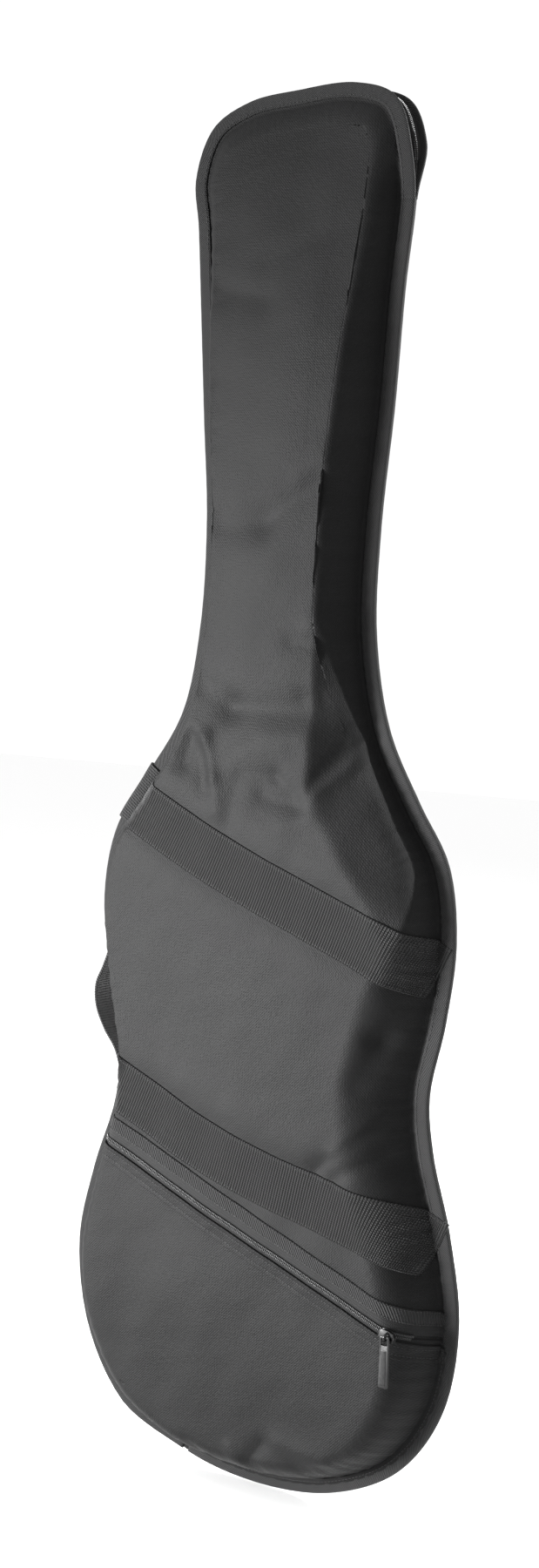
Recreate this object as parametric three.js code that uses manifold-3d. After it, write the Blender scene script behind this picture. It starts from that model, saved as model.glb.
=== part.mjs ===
// A padded gig bag for an electric guitar. It stands upright: +Z runs from the lower bout to the
// headstock, the front faces -Y and +X is to the right of someone looking at the front.
// Millimetres throughout. Soft layers are nested closed shells; the front is cut along the straight
// fold line between the two ends of the main zip, so that its left side opens as a flap.
import * as THREE from 'three';
import { mergeVertices } from 'three/addons/utils/BufferGeometryUtils.js';
import Module from 'manifold-3d';

const wasm = await Module();
wasm.setup();

// ---------------------------------------------------------------- driving dimensions
const GAP = 0.35;                 // clearance between touching pieces
const FABRIC = 1.2;               // woven cover with its coating
const FOAM = 7.0;                 // closed-cell padding
const LINING = 1.0;               // inner lining
const WEBBING = 1.25;             // flat bands sewn on the front

const BINDING_WIDTH = 11;         // folded tape round every edge
const BINDING_WALL = 0.8;
const FLANGE_EDGE = 1.6;          // distance of a panel's raw edge from the outline
const FLANGE_HALF = 0.5;          // half thickness of the flange inside the binding
const WALL_INSET = 13.5;          // where the panel turns up from its flange

const CLOSED_HALF = 1.5;          // flange distance from the seam plane on the sewn side
const ZIP_HALF = 12;              // the same on the zipped side

const FRONT_DEPTH = { bottom: 38, body: 42, neck: 38, head: 32, crown: 2 };
const BACK_DEPTH = { bottom: 24, body: 27, neck: 24, head: 22, crown: 0 };
const BODY_WALL = 22;             // width of the rounded side wall on the body
const NECK_WALL = 17;             // and along the neck
const WALL_STEPS = [0, 0.1, 0.36, 1];

const BAND_WIDTH = 42;            // webbing across the front
const HANDLE_WIDTH = 30;
const HANDLE_THICK = 2.6;

const COIL_HALF = 1.3;            // half width of a closed coil chain
const COIL_HEIGHT = 2.3;
const TAPE_WIDTH = 6.4;           // visible zip tape beside the coil
const TRIM_WIDTH = 10;            // twill tape above the pocket zip

// Outline through the outer edge of the binding, from bottom centre up the right side, over the
// headstock and down the left side. The neck leans 4 mm to the right of the body's middle.
const RIGHT_SIDE = [
  [128, 40], [163, 92], [174, 160], [163, 228], [146, 286], [141, 328], [152, 385], [158, 446],
  [149, 502], [122, 546], [94, 598], [79, 668], [79, 745], [87, 840], [92, 925], [98, 985],
  [98, 1030], [84, 1060],
];
const TOP_SIDE = [[50, 1072], [0, 1071], [-44, 1066]];
const LEFT_SIDE = [
  [-77, 1049], [-92, 1012], [-88, 975], [-83, 910], [-77, 830], [-71, 750], [-74, 668], [-88, 602],
  [-121, 550], [-150, 505], [-160, 450], [-151, 385], [-139, 325], [-143, 285], [-162, 228],
  [-175, 165], [-163, 95], [-128, 42],
];
const OUTLINE = [[0, 0], [70, 9], ...RIGHT_SIDE, ...TOP_SIDE, ...LEFT_SIDE, [-70, 10]];

const EDGE_COUNT = OUTLINE.length;
const BOTTOM_RIGHT = 2;
const TOP_RIGHT = BOTTOM_RIGHT + RIGHT_SIDE.length - 1;
const TOP_LEFT = TOP_RIGHT + TOP_SIDE.length + 1;
const BOTTOM_LEFT = TOP_LEFT + LEFT_SIDE.length - 1;
const COLUMNS = TOP_LEFT - TOP_RIGHT;
const ROWS = TOP_RIGHT - BOTTOM_RIGHT;

// The main zip starts on the right of the headstock, goes over the top and down the left side, and
// ends under the lower bout. Places along the outline count its points.
const ZIP_START = 17;
const ZIP_END = BOTTOM_LEFT + 1;
const ZIP_EASE = 0.8;

// Fold line of the opened front, from one zip end to the other, and how far in front it turns.
const FOLD_LOW = new THREE.Vector2(-62, 5);
const FOLD_HIGH = new THREE.Vector2(84, 975);
const FOLD_GAP = 0.3;

// Centre lines of the two diagonal bands and the pocket zip.
const UPPER_BAND = [[-150, 549], [-60, 506], [0, 481], [60, 459], [110, 440], [170, 411]];
const LOWER_BAND = [[-160, 325], [-90, 295], [-40, 274], [20, 256], [80, 242], [130, 228], [178, 208]];
const POCKET_ZIP_LEFT = new THREE.Vector2(-170, 280);
const POCKET_ZIP_RIGHT = new THREE.Vector2(190, 139);
const POCKET_CHAIN = [-120, 153]; // X of the two ends of its coil
const POCKET_SLIDER_X = 140;

// ---------------------------------------------------------------- outline and surfaces
const edgeCurve = new THREE.CatmullRomCurve3(
  OUTLINE.map(([x, z]) => new THREE.Vector3(x, 0, z)), true, 'centripetal',
);

const ramp = (value) => THREE.MathUtils.smoothstep(value, 0, 1);
const mix = THREE.MathUtils.lerp;

/** A corner of the outline, moved inwards by inset. */
function cornerAt(place, inset) {
  const t = (((place % EDGE_COUNT) + EDGE_COUNT) % EDGE_COUNT) / EDGE_COUNT;
  const point = edgeCurve.getPoint(t);
  const tangent = edgeCurve.getTangent(t);
  return new THREE.Vector2(point.x - tangent.z * inset, point.z + tangent.x * inset);
}

/** A point between two corners of the outline, moved inwards by inset. */
function edgeAt(place, inset) {
  const before = Math.floor(place);
  return cornerAt(before, inset).lerp(cornerAt(before + 1, inset), place - before);
}

/** Distance of a flange from the seam plane: wide along the zip, narrow where the bag is sewn. */
function flangeHalf(place) {
  const before = Math.floor(place);
  const spread = (corner) => {
    const along = ((corner % EDGE_COUNT) + EDGE_COUNT) % EDGE_COUNT;
    const opening = ramp((along - ZIP_START) / ZIP_EASE) * ramp((ZIP_END - along) / ZIP_EASE);
    return mix(CLOSED_HALF, ZIP_HALF, opening);
  };
  return mix(spread(before), spread(before + 1), place - before);
}

function plateauDepth(z, depth) {
  const low = mix(depth.bottom, depth.body, ramp(z / 160));
  const middle = mix(low, depth.neck, ramp((z - 480) / 160));
  return mix(middle, depth.head, ramp((z - 850) / 200));
}

function wallWidth(z) {
  return mix(BODY_WALL, NECK_WALL, ramp((z - 500) / 110));
}

/**
 * One face of a soft layer, as rings of points that follow the outline and a grid inside them.
 * under is the layer's distance below the outer face of the cover; rim lists flat rings outside
 * the wall as [inset, y]; wallBase is the height at which the wall starts.
 */
function layerFace(under, depth, rim, wallBase) {
  const rings = [];
  for (const [inset, height] of rim) {
    rings.push(ringPoints(() => inset, () => height, 0, depth, under));
  }
  for (const step of WALL_STEPS) {
    const width = (z) => WALL_INSET + under + (wallWidth(z) - 0.3 * under) * step;
    rings.push(ringPoints(width, () => wallBase, Math.sqrt(1 - (1 - step) ** 2), depth, under));
  }
  return { rings, inner: innerGrid(rings.at(-1), depth, under) };
}

function ringPoints(insetAt, baseAt, rise, depth, under) {
  const ring = [];
  for (let place = 0; place < EDGE_COUNT; place += 1) {
    const level = edgeAt(place, 0).y;
    const flat = edgeAt(place, insetAt(level));
    const base = flangeHalf(place) + baseAt();
    const top = plateauDepth(flat.y, depth) - under;
    ring.push(new THREE.Vector3(flat.x, -mix(base, top, rise), flat.y));
  }
  return ring;
}

/** Coons patch between the four sides of the last ring, crowned in the middle. */
function innerGrid(ring, depth, under) {
  const at = (place) => ring[((place % EDGE_COUNT) + EDGE_COUNT) % EDGE_COUNT];
  const grid = [];
  for (let row = 0; row <= ROWS; row += 1) {
    const v = row / ROWS;
    const line = [];
    for (let column = 0; column <= COLUMNS; column += 1) {
      const u = column / COLUMNS;
      const bottom = at(BOTTOM_LEFT + column);
      const top = at(TOP_LEFT - column);
      const left = at(BOTTOM_LEFT - row);
      const right = at(BOTTOM_RIGHT + row);
      const edge = row === 0 || row === ROWS || column === 0 || column === COLUMNS;
      const point = new THREE.Vector3();
      for (const axis of ['x', 'z']) {
        point[axis] = (1 - v) * bottom[axis] + v * top[axis] + (1 - u) * left[axis] + u * right[axis]
          - (1 - u) * (1 - v) * at(BOTTOM_LEFT)[axis] - u * (1 - v) * at(BOTTOM_RIGHT)[axis]
          - (1 - u) * v * at(TOP_LEFT)[axis] - u * v * at(TOP_RIGHT)[axis];
      }
      const crown = depth.crown * 4 * u * (1 - u) * Math.sin(Math.PI * v);
      point.y = -(plateauDepth(point.z, depth) - under + crown);
      line.push(edge ? null : point);
    }
    grid.push(line);
  }
  return grid;
}

/** Closed solid between an outer and an inner face; facing is 1 for the front, -1 for the back. */
function shellGeometry(outer, inner, facing) {
  const positions = [];
  const indices = [];
  const place = (point) => {
    positions.push(point.x, point.y * facing, point.z);
    return positions.length / 3 - 1;
  };
  const quad = (a, b, c, d, flip) => {
    if (flip) indices.push(a, c, b, a, d, c);
    else indices.push(a, b, c, a, c, d);
  };
  const rimIndices = [];
  for (const [face, flipFace] of [[outer, false], [inner, true]]) {
    const flip = flipFace !== (facing < 0);
    const rings = face.rings.map((ring) => ring.map(place));
    rimIndices.push(rings[0]);
    for (let level = 0; level + 1 < rings.length; level += 1) {
      for (let j = 0; j < EDGE_COUNT; j += 1) {
        const next = (j + 1) % EDGE_COUNT;
        quad(rings[level][j], rings[level][next], rings[level + 1][next], rings[level + 1][j], flip);
      }
    }
    const last = rings.at(-1);
    const at = (index) => last[((index % EDGE_COUNT) + EDGE_COUNT) % EDGE_COUNT];
    const grid = face.inner.map((line, row) => line.map((point, column) => {
      if (point) return place(point);
      if (row === 0) return at(BOTTOM_LEFT + column);
      if (row === ROWS) return at(TOP_LEFT - column);
      return column === 0 ? at(BOTTOM_LEFT - row) : at(BOTTOM_RIGHT + row);
    }));
    for (let row = 0; row < ROWS; row += 1) {
      for (let column = 0; column < COLUMNS; column += 1) {
        quad(grid[row][column], grid[row][column + 1], grid[row + 1][column + 1],
          grid[row + 1][column], flip);
      }
    }
  }
  const [outerRim, innerRim] = rimIndices;
  for (let j = 0; j < EDGE_COUNT; j += 1) {
    const next = (j + 1) % EDGE_COUNT;
    quad(outerRim[j], innerRim[j], innerRim[next], outerRim[next], facing < 0);
  }
  return closedGeometry(positions, indices);
}

function closedGeometry(positions, indices) {
  const geometry = new THREE.BufferGeometry();
  geometry.setAttribute('position', new THREE.Float32BufferAttribute(positions, 3));
  geometry.setIndex(indices);
  return geometry;
}

// ---------------------------------------------------------------- joining and cutting
function toSolid(geometry) {
  const bare = geometry.clone();
  bare.deleteAttribute('normal');
  bare.deleteAttribute('uv');
  const merged = mergeVertices(bare, 1e-4);
  return new wasm.Manifold(new wasm.Mesh({
    numProp: 3,
    vertProperties: new Float32Array(merged.attributes.position.array),
    triVerts: new Uint32Array(merged.index.array),
  }));
}

function toGeometry(solid) {
  const mesh = solid.getMesh();
  return closedGeometry(Array.from(mesh.vertProperties), Array.from(mesh.triVerts));
}

/** Upright prism over an outline in the X-Z plane, from y = near to y = far. */
function prism(outline, near, far) {
  const shape = new THREE.Shape(outline.map((point) => new THREE.Vector2(point.x, point.y)));
  const geometry = new THREE.ExtrudeGeometry(shape, { depth: far - near, bevelEnabled: false });
  geometry.rotateX(Math.PI / 2);
  geometry.translate(0, far, 0);
  return geometry;
}

/** Everything on one side of a line in the X-Z plane: side 1 is to the left of low to high. */
function halfSpace(low, high, side, gap) {
  const along = high.clone().sub(low).normalize();
  const across = new THREE.Vector2(-along.y, along.x).multiplyScalar(side);
  const start = low.clone().addScaledVector(along, -1500).addScaledVector(across, gap);
  const end = low.clone().addScaledVector(along, 2500).addScaledVector(across, gap);
  const corners = [start, end, end.clone().addScaledVector(across, 900),
    start.clone().addScaledVector(across, 900)];
  return toSolid(prism(corners, -200, 200));
}

const flapSide = halfSpace(FOLD_LOW, FOLD_HIGH, 1, FOLD_GAP);
const fixedSide = halfSpace(FOLD_LOW, FOLD_HIGH, -1, FOLD_GAP);

// ---------------------------------------------------------------- colours and mesh helper
const COLOURS = {
  cover: [0x34353a, 0.85, 0], foam: [0x5b5d61, 0.95, 0], lining: [0x1d1e21, 0.8, 0],
  binding: [0x1c1c1f, 0.8, 0], webbing: [0x26272a, 0.75, 0], coil: [0x18181a, 0.5, 0],
  tape: [0x222326, 0.85, 0], metal: [0x141416, 0.35, 0.8],
};
const bag = new THREE.Group();

function addPiece(name, geometry, colour, parent = bag) {
  const [color, roughness, metalness] = COLOURS[colour];
  geometry.computeVertexNormals();
  const material = new THREE.MeshStandardMaterial({ color, roughness, metalness });
  const mesh = new THREE.Mesh(geometry, material);
  mesh.name = name;
  parent.add(mesh);
  return mesh;
}

/** Cuts a front piece at the fold line into its flap part and its fixed part. */
function addFoldedPiece(name, solid, colour) {
  addPiece(`${name}_flap`, toGeometry(solid.intersect(flapSide)), colour);
  addPiece(`${name}_fixed`, toGeometry(solid.intersect(fixedSide)), colour);
}

// ---------------------------------------------------------------- cover, padding and lining
function coverShell(depth, facing) {
  const outer = layerFace(0, depth, [[FLANGE_EDGE, FLANGE_HALF]], FLANGE_HALF);
  const inner = layerFace(FABRIC, depth, [[FLANGE_EDGE, -FLANGE_HALF]], -FLANGE_HALF);
  return shellGeometry(outer, inner, facing);
}

function innerShell(from, thickness, depth, facing) {
  const outer = layerFace(from, depth, [], -FLANGE_HALF);
  const inner = layerFace(from + thickness, depth, [], -FLANGE_HALF);
  return shellGeometry(outer, inner, facing);
}

/** A skin over the cover from which bands, tapes and the pocket are cut. */
function skinShell(from, thickness) {
  const outer = layerFace(-from - thickness, FRONT_DEPTH, [], FLANGE_HALF + GAP);
  const inner = layerFace(-from, FRONT_DEPTH, [], FLANGE_HALF + GAP);
  return toSolid(shellGeometry(outer, inner, 1));
}

const FOAM_FROM = FABRIC + GAP;
const LINING_FROM = FOAM_FROM + FOAM + GAP;

addFoldedPiece('front_cover', toSolid(coverShell(FRONT_DEPTH, 1)), 'cover');
addFoldedPiece('front_padding', toSolid(innerShell(FOAM_FROM, FOAM, FRONT_DEPTH, 1)), 'foam');
addFoldedPiece('front_lining', toSolid(innerShell(LINING_FROM, LINING, FRONT_DEPTH, 1)), 'lining');
addPiece('back_cover', coverShell(BACK_DEPTH, -1), 'cover');
addPiece('back_padding', innerShell(FOAM_FROM, FOAM, BACK_DEPTH, -1), 'foam');
addPiece('back_lining', innerShell(LINING_FROM, LINING, BACK_DEPTH, -1), 'lining');

// ---------------------------------------------------------------- strips along the outline
/** Solid swept along the outline; profile(place) gives its section as [inset, y], clockwise. */
function sweptStrip(from, to, profile) {
  const places = [from];
  for (let place = Math.ceil(from + 0.05); place < to - 0.04; place += 1) places.push(place);
  places.push(to);
  const positions = [];
  const indices = [];
  const first = profile(from).map(([inset, y]) => new THREE.Vector2(inset, y));
  const clockwise = THREE.ShapeUtils.isClockWise(first);
  const count = first.length;
  for (const place of places) {
    const section = clockwise ? profile(place).reverse() : profile(place);
    for (const [inset, y] of section) {
      const flat = edgeAt(place, inset);
      positions.push(flat.x, y, flat.y);
    }
  }
  for (let step = 0; step + 1 < places.length; step += 1) {
    for (let j = 0; j < count; j += 1) {
      const a = step * count + j;
      const b = step * count + ((j + 1) % count);
      indices.push(a, b, b + count, a, b + count, a + count);
    }
  }
  const section = clockwise ? first.reverse() : first;
  const last = (places.length - 1) * count;
  for (const [a, b, c] of THREE.ShapeUtils.triangulateShape(section, [])) {
    indices.push(a, c, b, last + a, last + b, last + c);
  }
  const geometry = closedGeometry(positions, indices);
  return signedVolume(geometry) < 0 ? turnedInsideOut(geometry) : geometry;
}

function signedVolume(geometry) {
  const { array } = geometry.attributes.position;
  const index = geometry.index.array;
  const corner = (k) => new THREE.Vector3().fromArray(array, index[k] * 3);
  let volume = 0;
  for (let k = 0; k < index.length; k += 3) {
    volume += corner(k).dot(corner(k + 1).cross(corner(k + 2))) / 6;
  }
  return volume;
}

function turnedInsideOut(geometry) {
  const index = Array.from(geometry.index.array);
  for (let k = 0; k < index.length; k += 3) {
    [index[k], index[k + 1]] = [index[k + 1], index[k]];
  }
  geometry.setIndex(index);
  return geometry;
}

/** Folded tape: a channel that takes flanges between y = low and y = high. */
function channel(low, high, wall, edge, width) {
  return [
    [edge, low - wall], [width, low - wall], [width, low], [edge + wall, low],
    [edge + wall, high], [width, high], [width, high + wall], [edge, high + wall],
  ];
}

const SLOT = FLANGE_HALF + 0.5;
const BINDING_HALF = SLOT + BINDING_WALL;
const binding = (centre, half) => channel(centre - half, centre + half, BINDING_WALL, 0, BINDING_WIDTH);
const JOIN_START = ZIP_START - 0.01;
const JOIN_END = ZIP_END + 0.01;
const TWO_BINDINGS = 0.08;        // how far past a zip end the two bindings have parted

addPiece('sewn_side_binding', sweptStrip(JOIN_END - EDGE_COUNT, JOIN_START,
  () => binding(0, CLOSED_HALF + SLOT)), 'binding');
addPiece('front_zip_binding', sweptStrip(ZIP_START + TWO_BINDINGS, ZIP_END - TWO_BINDINGS,
  (place) => binding(-flangeHalf(place), SLOT)), 'binding');
addPiece('back_zip_binding', sweptStrip(ZIP_START + TWO_BINDINGS, ZIP_END - TWO_BINDINGS,
  (place) => binding(flangeHalf(place), SLOT)), 'binding');

// ---------------------------------------------------------------- main zip
const TAPE_INSET = 3.4;
const TAPE_THICK = 0.8;
const CHAIN_START = ZIP_START + 0.62;
const CHAIN_END = ZIP_END - 0.62;
const COIL_DEPTH = 1.5;           // each half of the chain, across the tape
const CHAIN_GAP = 0.2;            // from the seam plane to each half

for (const [side, sign] of [['front', -1], ['back', 1]]) {
  const tape = (place) => {
    const inner = sign * (CHAIN_GAP + COIL_DEPTH + GAP);
    const outer = sign * (flangeHalf(place) - BINDING_HALF - GAP);
    return [[TAPE_INSET, inner], [TAPE_INSET + TAPE_THICK, inner],
      [TAPE_INSET + TAPE_THICK, outer], [TAPE_INSET, outer]];
  };
  const coil = () => {
    const near = sign * CHAIN_GAP;
    const far = sign * (CHAIN_GAP + COIL_DEPTH);
    return [[TAPE_INSET - 0.8, near], [TAPE_INSET + 1.6, near], [TAPE_INSET + 1.6, far],
      [TAPE_INSET - 0.8, far]];
  };
  addPiece(`main_zip_tape_${side}`, sweptStrip(CHAIN_START, CHAIN_END, tape), 'tape');
  addPiece(`main_zip_coil_${side}`, sweptStrip(CHAIN_START, CHAIN_END, coil), 'coil');
}

const STOP_LENGTH = 0.1;
for (const [name, from] of [['main_zip_top_stop', CHAIN_START - STOP_LENGTH - 0.02],
  ['main_zip_end_stop', CHAIN_END + 0.02]]) {
  const stop = () => [[TAPE_INSET - 1, -2], [TAPE_INSET + 2, -2], [TAPE_INSET + 2, 2],
    [TAPE_INSET - 1, 2]];
  addPiece(name, sweptStrip(from, from + STOP_LENGTH, stop), 'metal');
}

// ---------------------------------------------------------------- pull tabs and sliders
const TAB_LENGTH = 38;
const TAB_WIDTH = 8;
const TAB_THICK = 1.6;
const EYE_WIDTH = 4.8;            // opening that the slider's bridge passes through
const EYE_LENGTH = 5;
const CROSS_PIECE = 1.2;          // what is left of the tab above its eye
const BAR = 1.4;                  // thickness of a slider's bridge
const SLIDER_LENGTH = 13;
const SLIDER_HALF = 4.6;
const BRIDGE_SPAN = 8;
const BRIDGE_RISE = 5;            // bridge above the slider's plate
const PULL_RISE = 1.8;            // middle of the tab's cross piece above the plate

/** Pull tab hanging down -Z in the X-Z plane, with its cross piece on the X axis. */
function pullTab(length) {
  const half = TAB_WIDTH / 2;
  const top = CROSS_PIECE / 2;
  const corner = 2;
  const outline = new THREE.Shape([
    new THREE.Vector2(-half, top), new THREE.Vector2(-half, corner - length),
    new THREE.Vector2(corner - half, -length), new THREE.Vector2(half - corner, -length),
    new THREE.Vector2(half, corner - length), new THREE.Vector2(half, top),
  ]);
  outline.holes.push(new THREE.Path([
    new THREE.Vector2(-EYE_WIDTH / 2, -top), new THREE.Vector2(EYE_WIDTH / 2, -top),
    new THREE.Vector2(EYE_WIDTH / 2, -top - EYE_LENGTH),
    new THREE.Vector2(-EYE_WIDTH / 2, -top - EYE_LENGTH),
  ]));
  const geometry = new THREE.ExtrudeGeometry(outline, { depth: TAB_THICK, bevelEnabled: false });
  geometry.translate(0, 0, -TAB_THICK / 2);
  geometry.rotateX(Math.PI / 2);
  return geometry;
}

/**
 * Slider over a coil: its plate faces -Y, base and plate are heights above the tape's face, and
 * tunnel is the height of the channel. travel is the size along X, the channel's direction.
 */
function sliderGeometry(width, depth, base, tunnel, plate, channelAlongX) {
  const [left, right] = width;
  const [low, high] = depth;
  const body = new THREE.BoxGeometry(right - left, plate - base, high - low);
  body.translate((left + right) / 2, -(plate + base) / 2, (high + low) / 2);
  const wide = 2 * (COIL_HALF + 0.8);
  const channelSize = channelAlongX ? [100, 2 * tunnel, wide] : [wide, 2 * tunnel, 100];
  let solid = toSolid(body).subtract(toSolid(new THREE.BoxGeometry(...channelSize)));
  const middle = (left + right) / 2;
  const legHeight = BRIDGE_RISE + 0.4;
  for (const end of [-1, 1]) {
    const leg = new THREE.BoxGeometry(BAR, legHeight, BAR);
    leg.translate(middle, -(plate + BRIDGE_RISE - legHeight / 2), end * (BRIDGE_SPAN - BAR) / 2);
    solid = solid.add(toSolid(leg));
  }
  const bar = new THREE.BoxGeometry(BAR, BAR, BRIDGE_SPAN);
  bar.translate(middle, -(plate + BRIDGE_RISE - BAR / 2), 0);
  return toGeometry(solid.add(toSolid(bar)));
}

// The main zip has two sliders on the left of the neck. Each straddles the back half of the chain
// only, so that the front half can leave with the flap.
const LEFT_EDGE_UP = 26;          // outline places that bound the sliders' straight stretches
const LEFT_EDGE_MIDDLE = 28;
const LEFT_EDGE_DOWN = 29;
const UPPER_SLIDER_Z = 781;
const LOWER_SLIDER_Z = 738;
const NECK_PLATE = 2.8;

for (const [name, z, top, bottom] of [
  ['upper_slider', UPPER_SLIDER_Z, LEFT_EDGE_UP, LEFT_EDGE_MIDDLE],
  ['lower_slider', LOWER_SLIDER_Z, LEFT_EDGE_MIDDLE, LEFT_EDGE_DOWN]]) {
  const high = cornerAt(top, TAPE_INSET);
  const low = cornerAt(bottom, TAPE_INSET);
  const x = mix(low.x, high.x, (z - low.y) / (high.y - low.y));
  const lean = Math.atan2(high.x - low.x, high.y - low.y);
  const place = new THREE.Group();
  place.position.set(x, 0, z);
  place.rotation.y = lean;
  bag.add(place);
  const turned = new THREE.Group();
  turned.rotation.z = -Math.PI / 2;
  place.add(turned);
  addPiece(`main_zip_${name}`, sliderGeometry([-SLIDER_HALF, -0.3],
    [-SLIDER_LENGTH / 2, SLIDER_LENGTH / 2], 0.5, 1.3, NECK_PLATE, false), 'metal', turned);
  const tab = addPiece(`main_zip_${name}_pull`, pullTab(TAB_LENGTH - 8), 'metal', turned);
  tab.position.set(-(SLIDER_HALF + 0.3) / 2, -(NECK_PLATE + PULL_RISE), 0);
}

// ---------------------------------------------------------------- bands, pocket and its zip
function stripOutline(centreLine, halfWidth) {
  const curve = new THREE.SplineCurve(centreLine.map(([x, z]) => new THREE.Vector2(x, z)));
  const upper = [];
  const lower = [];
  for (let step = 0; step <= 10; step += 1) {
    const point = curve.getPoint(step / 10);
    const tangent = curve.getTangent(step / 10);
    const across = new THREE.Vector2(-tangent.y, tangent.x);
    upper.push(point.clone().addScaledVector(across, halfWidth));
    lower.unshift(point.clone().addScaledVector(across, -halfWidth));
  }
  return [...upper, ...lower].reverse();
}

const SKIN_NEAR = -80;
const bandSkin = skinShell(GAP, WEBBING);
for (const [name, line] of [['upper_band', UPPER_BAND], ['lower_band', LOWER_BAND]]) {
  const cutter = toSolid(prism(stripOutline(line, BAND_WIDTH / 2), SKIN_NEAR, 0));
  addFoldedPiece(name, bandSkin.intersect(cutter), 'webbing');
}

const zipAlong = POCKET_ZIP_RIGHT.clone().sub(POCKET_ZIP_LEFT).normalize();
const zipAcross = new THREE.Vector2(-zipAlong.y, zipAlong.x);

const zipPoint = (x) => new THREE.Vector2(x,
  POCKET_ZIP_LEFT.y + (x - POCKET_ZIP_LEFT.x) * zipAlong.y / zipAlong.x);

/** Strip parallel to the pocket zip, between two distances above its centre line. */
function zipStrip(low, high, left = POCKET_ZIP_LEFT.x, right = POCKET_ZIP_RIGHT.x) {
  const corner = (x, distance) => zipPoint(x).addScaledVector(zipAcross, distance);
  return toSolid(prism([corner(left, low), corner(right, low), corner(right, high),
    corner(left, high)], SKIN_NEAR, 0));
}

const TAPE_LOW = COIL_HALF + GAP;
const TAPE_HIGH = TAPE_LOW + TAPE_WIDTH;
const coilSkin = skinShell(GAP, COIL_HEIGHT);
addFoldedPiece('pocket_trim', bandSkin.intersect(zipStrip(TAPE_HIGH + GAP, TAPE_HIGH + TRIM_WIDTH)),
  'binding');
addFoldedPiece('pocket_zip_tape_upper', bandSkin.intersect(zipStrip(TAPE_LOW, TAPE_HIGH)), 'tape');
addFoldedPiece('pocket_zip_coil',
  coilSkin.intersect(zipStrip(-COIL_HALF, COIL_HALF, ...POCKET_CHAIN)), 'coil');
addFoldedPiece('pocket_zip_tape_lower', bandSkin.intersect(zipStrip(-TAPE_LOW - 3, -TAPE_LOW)), 'tape');
addFoldedPiece('pocket_panel', bandSkin.intersect(zipStrip(-400, -TAPE_LOW - 3 - GAP)), 'cover');

// The pocket slider is near the right end of its zip, which is the closed end.
const sliderAt = zipPoint(POCKET_SLIDER_X);
const POCKET_PLATE = 5.2;
const POCKET_TUNNEL = 3.6;
const pocketFace = -plateauDepth(sliderAt.y, FRONT_DEPTH);
const pocketSlider = addPiece('pocket_slider', sliderGeometry(
  [-SLIDER_LENGTH / 2, SLIDER_LENGTH / 2], [-SLIDER_HALF, SLIDER_HALF],
  GAP + WEBBING + 0.5, POCKET_TUNNEL, POCKET_PLATE, true), 'metal');
pocketSlider.position.set(sliderAt.x, pocketFace, sliderAt.y);
pocketSlider.rotation.y = -Math.atan2(zipAlong.y, zipAlong.x);
const pocketTab = addPiece('pocket_slider_pull', pullTab(TAB_LENGTH), 'metal');
pocketTab.position.set(sliderAt.x, pocketFace - POCKET_PLATE - PULL_RISE, sliderAt.y);

// ---------------------------------------------------------------- folded ends and carry handle
/** Webbing folded over a binding; facing -1 is the front binding, 1 the back one. */
function foldedEnd(place, facing, reach) {
  const wall = WEBBING;
  const edge = -GAP - wall;
  const near = facing * flangeHalf(place) + facing * (BINDING_HALF + GAP);
  const far = facing * flangeHalf(place) - facing * (BINDING_HALF + GAP);
  const back = TAPE_INSET - 2 * GAP;
  return [[edge, near + facing * wall], [reach, near + facing * wall], [reach, near],
    [edge + wall, near], [edge + wall, far], [back, far], [back, far - facing * wall],
    [edge, far - facing * wall]];
}

addPiece('upper_band_folded_end', sweptStrip(30.9, 31.75,
  (place) => foldedEnd(place, -1, BINDING_WIDTH + GAP)), 'webbing');
addPiece('handle_anchor_upper', sweptStrip(32.4, 33, (place) => foldedEnd(place, 1, 9)), 'webbing');
addPiece('handle_anchor_lower', sweptStrip(35.2, 35.9, (place) => foldedEnd(place, 1, 9)), 'webbing');

// The loop droops between its anchors; its far edge is the line it turns about.
const HANDLE_PATH = [[-148, 299], [-156, 322], [-168, 338], [-177, 356], [-178, 374], [-171, 390],
  [-165, 408], [-164, 434], [-166, 466]];
const HANDLE_NEAR = 2;
const handle = new THREE.SplineCurve(HANDLE_PATH.map(([x, z]) => new THREE.Vector2(x, z)));
const HANDLE_STEPS = 14;
const handleSides = [[], []];
for (let step = 0; step <= HANDLE_STEPS; step += 1) {
  const tangent = handle.getTangent(step / HANDLE_STEPS);
  const across = new THREE.Vector2(-tangent.y, tangent.x);
  const point = handle.getPoint(step / HANDLE_STEPS);
  handleSides[0].push(point.clone().addScaledVector(across, HANDLE_THICK / 2));
  handleSides[1].unshift(point.clone().addScaledVector(across, -HANDLE_THICK / 2));
}
addPiece('carry_handle', prism([...handleSides[0], ...handleSides[1]].reverse(), HANDLE_NEAR,
  HANDLE_NEAR + HANDLE_WIDTH), 'webbing');

// The origin is under the middle of the whole bag.
const extent = new THREE.Box3().setFromObject(bag);
const middle = extent.getCenter(new THREE.Vector3());
bag.position.set(-middle.x, -middle.y, -extent.min.z);

export default bag;
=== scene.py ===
"""A padded gig bag for an electric guitar, built in soft detail round its CAD frame.

Shapes are worked out in millimetres in the bag's own outline frame: x to the right and z up in
the seam plane, y away from the front, with y = 0 on the seam. place() turns them into metres in
the object's frame. A "place" counts the outline's points, and an "inset" is a distance inwards.
"""
import math

import bmesh
import bpy
import numpy as np
from mathutils import Matrix, Vector
from mathutils.bvhtree import BVHTree
from mathutils.kdtree import KDTree


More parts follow.
